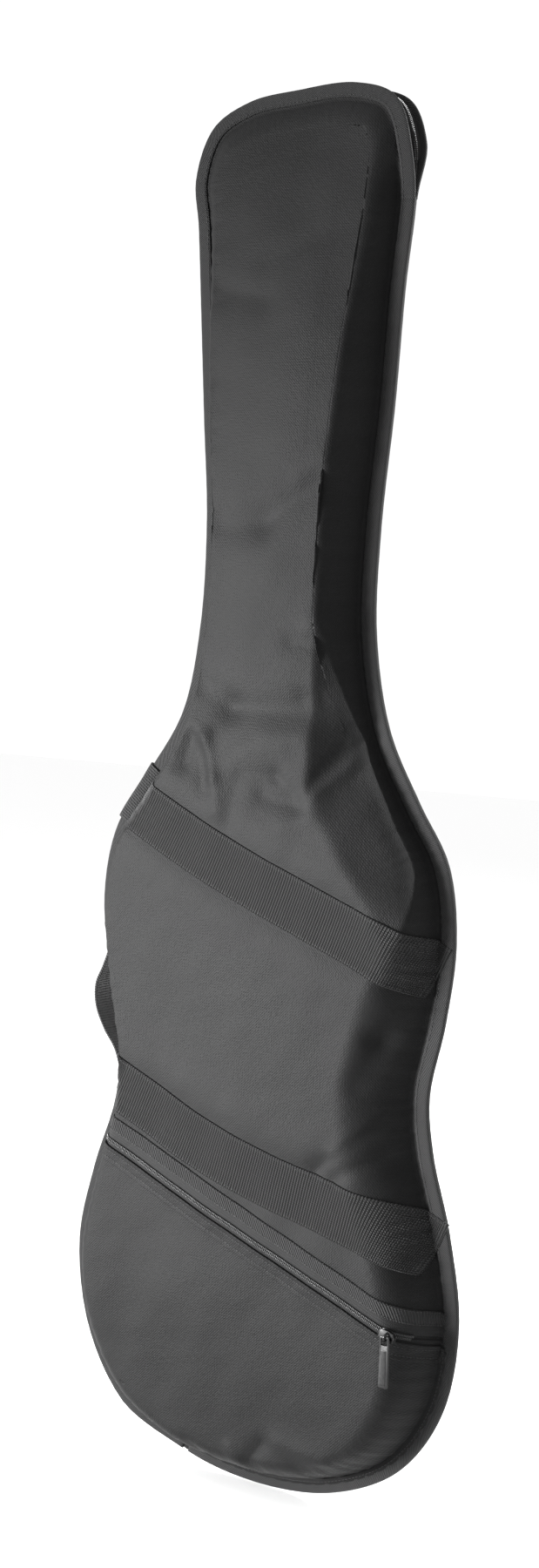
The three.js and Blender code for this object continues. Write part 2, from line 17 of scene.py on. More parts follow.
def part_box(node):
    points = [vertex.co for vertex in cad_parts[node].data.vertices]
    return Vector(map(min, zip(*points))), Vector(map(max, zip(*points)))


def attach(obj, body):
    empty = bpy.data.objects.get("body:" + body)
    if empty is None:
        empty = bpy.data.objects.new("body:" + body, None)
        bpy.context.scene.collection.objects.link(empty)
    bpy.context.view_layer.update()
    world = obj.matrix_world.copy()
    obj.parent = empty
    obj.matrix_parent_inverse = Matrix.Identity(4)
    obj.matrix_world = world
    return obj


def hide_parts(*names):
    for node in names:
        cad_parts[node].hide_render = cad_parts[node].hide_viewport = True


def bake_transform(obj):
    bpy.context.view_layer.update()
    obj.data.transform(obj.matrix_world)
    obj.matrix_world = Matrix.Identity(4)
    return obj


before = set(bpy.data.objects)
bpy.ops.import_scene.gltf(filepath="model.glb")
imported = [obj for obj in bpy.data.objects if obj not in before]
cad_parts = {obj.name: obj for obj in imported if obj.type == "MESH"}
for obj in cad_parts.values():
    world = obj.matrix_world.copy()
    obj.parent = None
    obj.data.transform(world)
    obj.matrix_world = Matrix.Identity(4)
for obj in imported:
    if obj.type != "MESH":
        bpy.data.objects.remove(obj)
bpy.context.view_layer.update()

# ---------------------------------------------------------------- driving dimensions, mm
MM = 0.001
RIGHT_SIDE = [
    (128, 40), (163, 92), (174, 160), (163, 228), (146, 286), (141, 328), (152, 385), (158, 446),
    (149, 502), (122, 546), (94, 598), (79, 668), (79, 745), (87, 840), (92, 925), (98, 985),
    (98, 1030), (84, 1060),
]
TOP_SIDE = [(50, 1072), (0, 1071), (-44, 1066)]
LEFT_SIDE = [
    (-77, 1049), (-92, 1012), (-88, 975), (-83, 910), (-77, 830), (-71, 750), (-74, 668),
    (-88, 602), (-121, 550), (-150, 505), (-160, 450), (-151, 385), (-139, 325), (-143, 285),
    (-162, 228), (-175, 165), (-163, 95), (-128, 42),
]
OUTLINE = np.array([(0, 0), (70, 9), *RIGHT_SIDE, *TOP_SIDE, *LEFT_SIDE, (-70, 10)], float)
POINTS = len(OUTLINE)
BOTTOM_RIGHT = 2
TOP_RIGHT = BOTTOM_RIGHT + len(RIGHT_SIDE) - 1
TOP_LEFT = TOP_RIGHT + len(TOP_SIDE) + 1
BOTTOM_LEFT = TOP_LEFT + len(LEFT_SIDE) - 1
FINE = 22                       # samples between two outline points
COARSE = 11                     # the same on hidden layers
BORDER_STEP = 0.05              # places between samples when the outline is searched

ZIP_START = 17
ZIP_END = BOTTOM_LEFT + 1
CLOSED_HALF = 1.5               # flange distance from the seam plane on the sewn side
ZIP_HALF = 12                   # the same on the zipped side
FLANGE_HALF = 0.5
WALL_INSET = 13.5
FABRIC = 0.9
FOAM = (2.3, 8.3)               # how far below the cover's face the foam starts and ends
LINING = (8.7, 9.5)
LAYER_SLACK = 1.0               # the layers under the cover do not reach into its sharp valley
FRONT_DEPTH = {"bottom": 38, "body": 42, "neck": 38, "head": 16.5, "crown": 2, "head_crown": 4.5}
BACK_DEPTH = {"bottom": 24, "body": 27, "neck": 24, "head": 22, "crown": 0, "head_crown": 0}

BINDING_WIDTH = 11
BINDING_WALL = 0.8
SEWN_BINDING_HALF = 2.9
ZIP_BINDING_HALF = 1.7
STITCH_INSET = 9.3
STITCH_PITCH = 3.3

STRIP_INSET = 9.5               # strips sewn to the front stop this far inside the outline
BAND_WIDTH = 42
BAND_THICK = 1.3
RIB_PITCH = 2.2                 # ribs across the webbing
RIB_HEIGHT = 0.6
WEBBING_STEP = 0.62             # mesh spacing along webbing, fine enough for its ribs
UPPER_BAND = [(-150, 549), (-60, 506), (0, 481), (60, 459), (110, 440), (170, 411)]
LOWER_BAND = [(-160, 325), (-90, 295), (-40, 274), (20, 256), (80, 242), (130, 228), (178, 208)]
POCKET_ZIP_LEFT = np.array([-170.0, 280.0])
POCKET_ZIP_RIGHT = np.array([190.0, 139.0])
POCKET_CHAIN = (-128, 150)
POCKET_SLIDER_X = 140
HANDLE_PATH = [
    (-148, 299), (-156, 322), (-168, 338), (-177, 356), (-178, 374), (-171, 390), (-165, 408),
    (-164, 434), (-166, 466),
]
HANDLE_Y = (2, 32)
HANDLE_THICK = 2.6
TAPE_INSET = 3.4
UPPER_SLIDER_Z = 781
LOWER_SLIDER_Z = 738

# The outline frame's origin in the object's frame: the sewn binding is centred on the seam, and
# the pocket's pull tab hangs at a known distance from the bag's middle line.
seam_low, seam_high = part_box("sewn_side_binding")
pull_low, pull_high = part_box("pocket_slider_pull")
ORIGIN = np.array([
    (pull_low.x + pull_high.x) / 2 / MM - POCKET_SLIDER_X,
    (seam_low.y + seam_high.y) / 2 / MM,
    0.0,
])


def place(points):
    """Outline-frame millimetres to metres in the object's frame."""
    return (np.asarray(points, float) + ORIGIN) * MM


# ---------------------------------------------------------------- small mathematics
def ramp(t):
    t = np.clip(t, 0, 1)
    return t * t * (3 - 2 * t)


def mix(a, b, t):
    return a + (b - a) * t


def unit(v):
    return v / np.maximum(np.linalg.norm(v, axis=-1, keepdims=True), 1e-12)


def waves(x, z, length, seed, count=7):
    """Smooth unevenness of about -1 to 1 with features of that length, the same at every run."""
    random = np.random.default_rng(seed)
    total = np.zeros_like(x, dtype=float)
    for _ in range(count):
        angle = random.uniform(0, 2 * math.pi)
        k = 2 * math.pi / (length * random.uniform(0.7, 1.6))
        total += np.sin(k * (x * math.cos(angle) + z * math.sin(angle)) + random.uniform(0, 6.3))
    return total / math.sqrt(count * 2)


def spline(points, count):
    """Uniform Catmull-Rom curve through 2-D points: count places and unit tangents."""
    p = np.array(points, float)
    t = np.linspace(0, len(p) - 1, count)
    i = np.minimum(t.astype(int), len(p) - 2)
    f = (t - i)[:, None]
    p0, p1 = p[np.maximum(i - 1, 0)], p[i]
    p2, p3 = p[i + 1], p[np.minimum(i + 2, len(p) - 1)]
    m1, m2 = (p2 - p0) / 2, (p3 - p1) / 2
    at = (2 * p1 - 2 * p2 + m1 + m2) * f**3 + (-3 * p1 + 3 * p2 - 2 * m1 - m2) * f**2 + m1 * f + p1
    along = 3 * (2 * p1 - 2 * p2 + m1 + m2) * f**2 + 2 * (-3 * p1 + 3 * p2 - 2 * m1 - m2) * f + m1
    return at, unit(along)


def run_along(path):
    """Distance along a polyline at each of its points."""
    return np.concatenate([[0], np.cumsum(np.linalg.norm(np.diff(path, axis=0), axis=1))])


def even_steps(path, step):
    """Resamples a polyline at steps of that length."""
    lengths = run_along(path)
    wanted = np.linspace(0, lengths[-1], max(2, int(round(lengths[-1] / step)) + 1))
    return np.stack([np.interp(wanted, lengths, path[:, k]) for k in range(path.shape[1])], axis=1)


# ---------------------------------------------------------------- outline and panel surfaces
def outline_at(places):
    """Points and unit tangents of the closed centripetal curve through OUTLINE."""
    places = np.asarray(places, float) % POINTS
    i = places.astype(int)
    f = (places - i)[:, None]
    p = [OUTLINE[(i + k) % POINTS] for k in (-1, 0, 1, 2)]
    d = [np.sqrt(np.linalg.norm(p[k + 1] - p[k], axis=1))[:, None] for k in range(3)]
    m1 = (p[1] - p[0]) / d[0] - (p[2] - p[0]) / (d[0] + d[1]) + (p[2] - p[1]) / d[1]
    m2 = (p[2] - p[1]) / d[1] - (p[3] - p[1]) / (d[1] + d[2]) + (p[3] - p[2]) / d[2]
    m1, m2 = m1 * d[1], m2 * d[1]
    c2 = -3 * p[1] + 3 * p[2] - 2 * m1 - m2
    c3 = 2 * p[1] - 2 * p[2] + m1 + m2
    return p[1] + m1 * f + c2 * f**2 + c3 * f**3, unit(m1 + 2 * c2 * f + 3 * c3 * f**2)


def inwards(tangent):
    return np.stack([-tangent[:, 1], tangent[:, 0]], axis=1)


def edge_at(places, inset):
    point, tangent = outline_at(places)
    return point + inwards(tangent) * np.reshape(inset, (-1, 1))


def nearest_edge(flat):
    """Place and distance of the outline's nearest point, for each 2-D point."""
    places = np.arange(0, POINTS, BORDER_STEP)
    border = outline_at(places)[0]
    tree = KDTree(len(border))
    for k, (x, z) in enumerate(border):
        tree.insert((x, z, 0), k)
    tree.balance()
    found = [tree.find((x, z, 0))[1:] for x, z in flat]
    return np.array([places[k] for k, _ in found]), np.array([d for _, d in found])


def flange_half(places):
    places = np.asarray(places, float) % POINTS
    opening = ramp(places - ZIP_START) * ramp(ZIP_END - places)
    return mix(CLOSED_HALF, ZIP_HALF, opening)


def plateau_depth(z, depth):
    low = mix(depth["bottom"], depth["body"], ramp(z / 160))
    middle = mix(low, depth["neck"], ramp((z - 480) / 160))
    return mix(middle, depth["head"], ramp((z - 800) / 290))


# How the side wall runs round the outline: place, width, slope of its flat part. It is steep and
# tucked in on the left, tight-edged on the right of the neck, and wide and soft on the right of
# the body.
WALLS = np.array([
    (0, 22, 1.8), (2, 22, 1.8), (3, 25, 1.75), (4, 30, 1.7), (5, 39, 1.65), (6, 44, 1.65),
    (8, 42, 1.65), (9, 26, 1.75), (10, 13, 1.8), (11, 10, 1.8), (12, 10, 1.8), (12.6, 14, 1.5),
    (13.2, 18.5, 1.32), (15, 19, 1.32), (16, 15.5, 1.5), (17, 17, 1.9), (18, 18, 1.95),
    (22, 18, 1.95), (23, 15, 1.95), (24, 12, 1.8), (29, 9, 1.8), (30, 11, 1.8), (31, 15, 1.8),
    (32, 14, 1.8), (34, 10, 1.8), (35, 10, 1.8), (36, 12, 1.8), (37, 17, 1.8), (38, 21, 1.8),
    (40, 23, 1.8), (42, 22, 1.8),
])


def wall_at(places, column):
    return np.interp(np.asarray(places, float) % POINTS, WALLS[:, 0], WALLS[:, column])


def rise_at(step, places):
    """Height of the side wall, 0 to 1, across its width: a flat slope that rounds over. A rounding
    of one less than the slope makes the wall level where it meets the plateau."""
    slope = wall_at(places, 2)
    rounding = slope - 1

    def profile(t):
        h = np.clip(0.5 + 0.5 * (1 - slope * t) / rounding, 0, 1)
        return mix(1.0, slope * t, h) - rounding * h * (1 - h)

    return (profile(step) - profile(0)) / (profile(1) - profile(0))


def smooth_least(a, b, blend):
    h = np.clip(0.5 + 0.5 * (b - a) / blend, 0, 1)
    return mix(b, a, h) - blend * h * (1 - h)


# The edge along the right of the neck stands straight over its foot, where the neck's side wall
# runs out on the body, and leans outwards above the neck's narrowest part.
RIDGE_FOOT = np.array([47.0, 547.0])
RIDGE_LEAN_FROM = 725
RIDGE_LEAN = 0.087
WALL_SLOPE = 0.86
SHOULDER_SLOPE = 0.56
SHOULDER_DOWN = unit(np.array([77.0, 53.0]))


def ridge_x(z):
    return RIDGE_FOOT[0] + RIDGE_LEAN * np.maximum(z - RIDGE_LEAN_FROM, 0)


def shoulder_carve(x, z):
    """Greatest depth of the front at a place: the neck's side slope and the right shoulder's slope
    meet in a valley that runs from the ridge's foot up to the binding."""
    level = plateau_depth(z, FRONT_DEPTH) + 2
    wall = level - WALL_SLOPE * (x - ridge_x(z))
    down = (x - RIDGE_FOOT[0]) * SHOULDER_DOWN[0] + (z - RIDGE_FOOT[1]) * SHOULDER_DOWN[1]
    return np.maximum(wall, level - SHOULDER_SLOPE * down)


# Folds, creases and dents of the front, given to about 5 mm: from (x, z) to (x, z), half
# width, height.
FRONT_FOLDS = [
    # slack across the neck, beside its right-hand ridge
    ((-50, 745), (0, 750), 14, -2.6), ((0, 750), (45, 775), 13, -2.8), ((30, 785), (50, 795), 9, 1.3),
    ((30, 660), (50, 660), 8, -1.9), ((45, 675), (60, 670), 8, 1.8), ((40, 620), (55, 620), 7, -1.5),
    ((-60, 630), (-25, 610), 14, -2.8), ((-25, 610), (45, 610), 12, -3.6), ((10, 590), (40, 590), 10, 1.8),
    ((-55, 925), (-10, 915), 12, -2.0), ((-10, 940), (30, 960), 16, -1.2),
    # the valley beside the shoulder and the fold along its right side
    ((55, 550), (105, 605), 6, 1.9), ((50, 555), (70, 585), 5, -1.2), ((70, 550), (120, 590), 12, -1.6),
    # left shoulder, and the hollow left of the ridge's foot
    ((-10, 560), (20, 560), 7, -2.0), ((20, 560), (35, 550), 7, -2.2), ((10, 545), (40, 540), 8, -3.0),
    ((-5, 580), (25, 580), 8, 1.2), ((30, 525), (50, 530), 8, 1.2), ((-60, 595), (-45, 585), 6, 2.0),
    ((-45, 585), (-35, 555), 6, 2.3), ((-35, 555), (-30, 530), 6, 1.4), ((-60, 585), (-65, 565), 9, -3.4),
    ((-50, 570), (-45, 545), 7, -1.8), ((-15, 550), (-20, 520), 8, -1.5),
    # right-hand waist
    ((70, 270), (115, 310), 7, -2.5), ((85, 265), (120, 285), 6, -2.4), ((85, 285), (115, 315), 6, 2.3),
    ((100, 335), (115, 370), 10, -2.6), ((115, 370), (145, 400), 9, -3.0), ((125, 355), (140, 420), 7, 1.6),
    # foot of the pocket
    ((15, 30), (30, 50), 6, -2.4), ((0, 40), (20, 20), 5, 2.0), ((45, 55), (85, 50), 8, 1.8),
    ((60, 40), (120, 50), 8, -2.0), ((-40, 35), (-20, 15), 5, -1.8),
]
BACK_FOLDS = [
    ((-40, 760), (30, 742), 16, -1.6), ((-30, 640), (40, 622), 14, -2.0), ((-80, 560), (-30, 520), 12, -2.2),
    ((40, 545), (90, 560), 12, -2.2), ((-110, 300), (-60, 330), 14, -1.8), ((70, 320), (110, 300), 14, -1.8),
    ((-60, 920), (-10, 900), 12, -1.2), ((20, 60), (70, 50), 12, -1.4),
]


def fold_height(x, z, folds):
    total = np.zeros_like(x, dtype=float)
    for low, high, width, height in folds:
        start, line = np.array(low, float), np.array(high, float) - np.array(low, float)
        t = np.clip(((x - start[0]) * line[0] + (z - start[1]) * line[1]) / (line @ line), 0, 1)
        away = np.hypot(x - start[0] - t * line[0], z - start[1] - t * line[1])
        total += height * np.exp(-((away / width) ** 1.7))
    return total


def band_press(x, z):
    """The webbing is sewn down, so the padding swells a little on both sides of it."""
    total = np.zeros_like(x, dtype=float)
    for line in (UPPER_BAND, LOWER_BAND):
        middle = np.interp(x, *np.array(line, float).T)
        away = np.abs(z - middle) * 0.92
        total += -1.5 * np.exp(-((away / 24) ** 6)) + 1.2 * np.exp(-(((away - 38) / 13) ** 2))
    return total


def front_relief(x, z):
    inside = fold_height(x, z, FRONT_FOLDS) + band_press(x, z)
    return inside + 1.1 * waves(x, z, 150, 3) + 0.42 * waves(x, z, 52, 8) + 0.13 * waves(x, z, 21, 9)


def back_relief(x, z):
    return fold_height(x, z, BACK_FOLDS) + 1.3 * waves(x, z, 150, 5) + 0.4 * waves(x, z, 55, 12)


def seam_pucker(places, inset):
    """Short gathers where the cover is sewn to its edge binding, fading up the wall."""
    count = np.asarray(places, float)
    gather = np.sin(count * 23.1 + 2 * np.sin(count * 3.7)) + 0.7 * np.sin(count * 41.3 + 1)
    calm = 1 - 0.8 * ramp((count - 16) / 1.5) * ramp((25 - count) / 1.5)
    return 0.3 * calm * gather * ramp((inset - 9) / 5) * ramp((40 - inset) / 24)


# ---------------------------------------------------------------- meshes
def make_object(name, points, faces, uvs=None, material=None):
    """A smooth-shaded mesh object from outline-frame points; uvs are in metres of real cloth."""
    mesh = bpy.data.meshes.new(name)
    mesh.from_pydata(place(points).tolist(), [], [list(map(int, f)) for f in faces])
    if uvs is not None:
        layer = mesh.uv_layers.new(name="cloth")
        corner = np.zeros(len(mesh.loops), int)
        mesh.loops.foreach_get("vertex_index", corner)
        layer.data.foreach_set("uv", np.asarray(uvs, float)[corner].astype(np.float32).ravel())
    mesh.polygons.foreach_set("use_smooth", np.ones(len(mesh.polygons), bool))
    mesh.update()
    obj = bpy.data.objects.new(name, mesh)
    bpy.context.scene.collection.objects.link(obj)
    if material is not None:
        mesh.materials.append(material)
    return obj


def grid_faces(index, closed=False):
    """Quads between the rows of an index array; closed joins its last column to its first."""
    right = np.roll(index, -1, axis=1) if closed else index[:, 1:]
    left = index if closed else index[:, :-1]
    quads = np.stack([left[:-1], right[:-1], right[1:], left[1:]], axis=-1)
    return quads.reshape(-1, 4)


def normals_of(points, faces):
    corners = points[faces]
    face = np.cross(corners[:, 2] - corners[:, 0], corners[:, 3] - corners[:, 1])
    total = np.zeros_like(points)
    for k in range(4):
        np.add.at(total, faces[:, k], face)
    return unit(total)


class Panel:
    """One face of a soft layer: rings that follow the outline and a patch inside the last."""

    def __init__(self, depth, facing, fine, under=0.0, rim=(1.6, 4, 7, 10, 12.2), base=FLANGE_HALF,
                 relief=None, steps=14, carve=None):
        self.count = POINTS * fine
        places = np.arange(self.count) / fine
        wall = (np.linspace(0, 1, steps + 1) ** 1.15)
        rings, insets = [], []
        for inset in rim:
            flat = edge_at(places, inset)
            rings.append(np.stack([flat[:, 0], -(flange_half(places) + base), flat[:, 1]], axis=1))
            insets.append(np.full(self.count, float(inset)))
        for step in wall:
            inset = WALL_INSET + under + (wall_at(places, 1) - 0.3 * under) * step
            flat = edge_at(places, inset)
            top = plateau_depth(flat[:, 1], depth) - under
            y = mix(flange_half(places) + base, top, rise_at(step, places))
            rings.append(np.stack([flat[:, 0], -y, flat[:, 1]], axis=1))
            insets.append(inset)
        self.places, self.insets = places, insets
        self._fill(np.array(rings), depth, under, fine)
        if carve is not None:
            x, y, z = self.points.T
            self.points[:, 1] = -smooth_least(-y, carve(x, z) - under, 2.5)
        self._finish(facing, relief, insets)

    def _fill(self, rings, depth, under, fine):
        last = rings[-1]
        rows, columns = (TOP_RIGHT - BOTTOM_RIGHT) * fine, (TOP_LEFT - TOP_RIGHT) * fine
        row, column = np.meshgrid(np.arange(rows + 1), np.arange(columns + 1), indexing="ij")
        u, v = (column / columns)[..., None], (row / rows)[..., None]

        def wrap(k):
            return np.asarray(k) % self.count

        def corner(k):
            return last[wrap(k * fine)]

        bottom = last[wrap(BOTTOM_LEFT * fine + column)]
        top = last[wrap(TOP_LEFT * fine - column)]
        left = last[wrap(BOTTOM_LEFT * fine - row)]
        right = last[wrap(BOTTOM_RIGHT * fine + row)]
        patch = ((1 - v) * bottom + v * top + (1 - u) * left + u * right
                 - (1 - u) * (1 - v) * corner(BOTTOM_LEFT) - u * (1 - v) * corner(BOTTOM_RIGHT)
                 - (1 - u) * v * corner(TOP_LEFT) - u * v * corner(TOP_RIGHT))
        height = mix(depth["crown"], depth["head_crown"], ramp((patch[..., 2] - 700) / 200))
        crown = height * np.sin(math.pi * u[..., 0]) ** 2 * ramp(v[..., 0] * 6) * ramp(
            (1 - v[..., 0]) * 6)
        patch[..., 1] = -(plateau_depth(patch[..., 2], depth) - under + crown)
        index = np.full(row.shape, -1)
        base = (len(rings) - 1) * self.count
        index[0], index[-1] = base + wrap(BOTTOM_LEFT * fine + column[0]), base + wrap(
            TOP_LEFT * fine - column[-1])
        index[:, 0] = base + wrap(BOTTOM_LEFT * fine - row[:, 0])
        index[:, -1] = base + wrap(BOTTOM_RIGHT * fine + row[:, -1])
        inner = index < 0
        index[inner] = len(rings) * self.count + np.arange(inner.sum())
        self.points = np.concatenate([rings.reshape(-1, 3), patch[inner]])
        ring_index = np.arange(len(rings) * self.count).reshape(len(rings), -1)
        self.rim = ring_index[0]
        self.faces = np.concatenate([grid_faces(ring_index, closed=True), grid_faces(index)])
        self.uvs = self._flat_pattern(rings, patch[inner])

    def _flat_pattern(self, rings, patch):
        """The cloth's own coordinates: the plateau as it lies, the wall unrolled outwards."""
        steps = np.linalg.norm(np.diff(rings[::-1], axis=0), axis=2)
        run = np.concatenate([np.zeros((1, self.count)), np.cumsum(steps, axis=0)])[::-1]
        outwards = -inwards(outline_at(self.places)[1])
        flat = rings[-1][:, [0, 2]] + outwards * run[..., None]
        return np.concatenate([flat.reshape(-1, 2), patch[:, [0, 2]]]) * MM

    def _finish(self, facing, relief, insets):
        self.points[:, 1] *= facing
        if facing < 0:
            self.faces = self.faces[:, ::-1]
        self.normals = normals_of(self.points, self.faces)
        ring_total = len(insets) * self.count
        patch_places, patch_inset = nearest_edge(self.points[ring_total:, [0, 2]])
        inset = np.concatenate([*insets, patch_inset])
        places = np.concatenate([np.tile(self.places, len(insets)), patch_places])
        lift = np.zeros(len(self.points))
        if relief is not None:
            lift = relief(self.points[:, 0], self.points[:, 2]) * ramp((inset - 14) / 18)
            lift += seam_pucker(places, inset)
        self.inset = inset
        self.points = self.points + self.normals * lift[:, None]
        self.normals = normals_of(self.points, self.faces)


def shell(name, outer, inner_points, inner_faces, inner_rim, inner_uvs, material):
    """Closed piece between a panel and an inner surface with a rim of the same length."""
    shift = len(outer.points)
    ring = np.stack([outer.rim, inner_rim + shift])
    side = grid_faces(ring, closed=True)
    if outer.faces[0, 0] == outer.rim[0]:
        side = side[:, ::-1]
    faces = np.concatenate([outer.faces, inner_faces[:, ::-1] + shift, side])
    points = np.concatenate([outer.points, inner_points])
    return make_object(name, points, faces, np.concatenate([outer.uvs, inner_uvs]), material)


def thick_panel(name, panel, thickness, material):
    return shell(name, panel, panel.points - panel.normals * thickness, panel.faces, panel.rim,
                 panel.uvs, material)


def sweep(name, places, section, material):
    """Closed strip along the outline; section(places) gives (n, k, 2) of inset and y."""
    rows = section(places)
    flat = np.stack([edge_at(places, rows[:, k, 0]) for k in range(rows.shape[1])], axis=1)
    points = np.stack([flat[..., 0], rows[..., 1], flat[..., 1]], axis=-1)
    return tube(name, points, material)


def tube(name, points, material, offset=0.0):
    """Closed strip from an (n, k, 3) array of sections, with flat end caps."""
    count, sides = points.shape[:2]
    index = np.arange(count * sides).reshape(count, sides)
    faces = [list(f) for f in grid_faces(index, closed=True)]
    faces += [list(index[0]), list(index[-1][::-1])]
    middle = points.mean(axis=1)
    run = run_along(middle)
    round_it = np.concatenate([np.zeros((count, 1)), np.cumsum(
        np.linalg.norm(np.diff(points, axis=1), axis=2), axis=1)], axis=1)
    uvs = np.stack([np.repeat(run[:, None], sides, axis=1) + offset, round_it], axis=-1) * MM
    obj = make_object(name, points.reshape(-1, 3), faces, uvs.reshape(-1, 2), material)
    recalculate(obj)
    return obj


def recalculate(obj):
    """Turns every face of a closed piece outwards."""
    work = bmesh.new()
    work.from_mesh(obj.data)
    bmesh.ops.recalc_face_normals(work, faces=work.faces[:])
    work.to_mesh(obj.data)
    work.free()


def ribbon(name, points, normals, lift, thickness, uvs, material, edge_round=0.5):
    """Closed strip of cloth over an (n, m, 3) grid of surface points; lift and thickness are
    (n, m) or single heights along the normals."""
    rows, columns = points.shape[:2]
    top = points + normals * (np.zeros((rows, columns, 1)) + np.reshape(
        lift, (1, 1, 1) if np.ndim(lift) == 0 else (rows, columns, 1)) + np.reshape(
        thickness, (1, 1, 1) if np.ndim(thickness) == 0 else (rows, columns, 1)))
    low = points + normals * np.reshape(lift, (1, 1, 1) if np.ndim(lift) == 0 else (rows, columns, 1))
    across = unit(points[:, -1] - points[:, 0])
    top[:, 0] += across * edge_round
    top[:, -1] -= across * edge_round
    index = np.arange(rows * columns).reshape(rows, columns)
    under = index + rows * columns
    rim = np.concatenate([index[0, :-1], index[:-1, -1], index[-1, :0:-1], index[:0:-1, 0]])
    rim_under = np.concatenate([under[0, :-1], under[:-1, -1], under[-1, :0:-1], under[:0:-1, 0]])
    faces = np.concatenate([
        grid_faces(index), grid_faces(under)[:, ::-1],
        grid_faces(np.stack([rim, rim_under]), closed=True)[:, ::-1],
    ])
    all_points = np.concatenate([top.reshape(-1, 3), low.reshape(-1, 3)])
    flat = np.concatenate([uvs.reshape(-1, 2)] * 2)
    obj = make_object(name, all_points, faces, flat, material)
    recalculate(obj)
    return obj


def capsule(length, radius, flat=1.0):
    """A stitch or coil tooth: rings along x. Returns points and faces."""
    around = np.linspace(0, 2 * math.pi, 6, endpoint=False)
    half = length / 2 - radius
    rings = [(-half - radius * 0.98, 0.3), (-half - radius * 0.5, 0.86), (-half * 0.5, 1.0),
             (half * 0.5, 1.0), (half + radius * 0.5, 0.86), (half + radius * 0.98, 0.3)]
    points = [(x, r * radius * math.cos(a), r * radius * flat * math.sin(a)) for x, r in rings
              for a in around]
    index = np.arange(len(points)).reshape(len(rings), 6)
    faces = [list(f) for f in grid_faces(index, closed=True)]
    faces += [list(index[0][::-1]), list(index[-1])]
    return np.array(points), faces


def beads(name, centres, along, up, template, material):
    """Many copies of one small closed form, joined in one object."""
    points, faces = template
    across = np.cross(up, along)
    placed = (centres[:, None] + along[:, None] * points[None, :, :1]
              + across[:, None] * points[None, :, 1:2] + up[:, None] * points[None, :, 2:3])
    shift = np.arange(len(centres)) * len(points)
    every = [[int(i + s) for i in f] for s in shift for f in faces]
    uvs = np.tile(points[:, :2] * MM, (len(centres), 1))
    obj = make_object(name, placed.reshape(-1, 3), every, uvs, material)
    recalculate(obj)
    return obj


# ---------------------------------------------------------------- materials
class Paint:
    """A node material with a Principled shader and a short way to write formulas."""

    def __init__(self, name, colour, roughness, **sockets):
        self.material = bpy.data.materials.new(name)
        self.material.use_nodes = True
        self.tree = self.material.node_tree
        self.shader = self.tree.nodes["Principled BSDF"]
        self.shader.inputs["Base Color"].default_value = (*colour, 1)
        self.shader.inputs["Roughness"].default_value = roughness
        for socket, value in sockets.items():
            self.shader.inputs[socket.replace("_", " ")].default_value = value
        split = self.node("ShaderNodeSeparateXYZ")
        self.link(self.node("ShaderNodeTexCoord").outputs["UV"], split.inputs[0])
        self.u, self.v = split.outputs[0], split.outputs[1]

    def node(self, kind, **values):
        made = self.tree.nodes.new(kind)
        for key, value in values.items():
            setattr(made, key, value)
        return made

    def link(self, source, target):
        self.tree.links.new(source, target)

    def maths(self, operation, *values):
        made = self.node("ShaderNodeMath", operation=operation)
        for socket, value in zip(made.inputs, values):
            if isinstance(value, (int, float)):
                socket.default_value = value
            else:
                self.link(value, socket)
        return made.outputs[0]

    def wave(self, value, pitch):
        """Sine of that pitch, in metres."""
        return self.maths("SINE", self.maths("MULTIPLY", value, 2 * math.pi / pitch))

    def noise(self, scale, detail=2.0, stretch=(1, 1, 1)):
        mapping = self.node("ShaderNodeMapping")
        mapping.inputs["Scale"].default_value = stretch
        self.link(self.node("ShaderNodeTexCoord").outputs["UV"], mapping.inputs[0])
        texture = self.node("ShaderNodeTexNoise")
        texture.inputs["Scale"].default_value = scale
        texture.inputs["Detail"].default_value = detail
        self.link(mapping.outputs[0], texture.inputs["Vector"])
        return texture.outputs[0]

    def colours(self, factor, dark, light):
        ramp_node = self.node("ShaderNodeValToRGB")
        ramp_node.color_ramp.elements[0].color = (*dark, 1)
        ramp_node.color_ramp.elements[1].color = (*light, 1)
        self.link(factor, ramp_node.inputs[0])
        self.link(ramp_node.outputs[0], self.shader.inputs["Base Color"])

    def bump(self, height, distance, strength=1.0):
        made = self.node("ShaderNodeBump")
        made.inputs["Strength"].default_value = strength
        made.inputs["Distance"].default_value = distance
        self.link(height, made.inputs["Height"])
        self.link(made.outputs[0], self.shader.inputs["Normal"])

    def rough(self, value, low, high):
        made = self.node("ShaderNodeMapRange")
        made.inputs["To Min"].default_value = low
        made.inputs["To Max"].default_value = high
        self.link(value, made.inputs["Value"])
        self.link(made.outputs[0], self.shader.inputs["Roughness"])


def grey(value, warm=0.0):
    return (value * (1 + warm), value, value * (1 - warm) * 1.02)


def cover_fabric():
    """Coated oxford nylon: a plain weave of flat yarns, a little uneven, dusty where it is worn."""
    paint = Paint("oxford_nylon", grey(0.005), 0.6, Specular_IOR_Level=0.08, Sheen_Weight=0.02,
                  Sheen_Roughness=0.5)
    weave = paint.maths("MULTIPLY", paint.wave(paint.u, 0.0021), paint.wave(paint.v, 0.0021))
    yarn = paint.noise(900, 1.0, (1, 0.22, 1))
    pick = paint.noise(900, 1.0, (0.22, 1, 1))
    height = paint.maths("ADD", paint.maths("MULTIPLY", weave, 0.32), paint.maths("ADD", yarn, pick))
    patch = paint.noise(14, 4.0)
    tone = paint.maths("MULTIPLY_ADD", height, 0.34, paint.maths("MULTIPLY", patch, 0.55))
    paint.colours(paint.maths("SUBTRACT", tone, 0.12), grey(0.0016), grey(0.0092))
    paint.bump(height, 0.00028, 1.0)
    paint.rough(patch, 0.54, 0.68)
    return paint.material


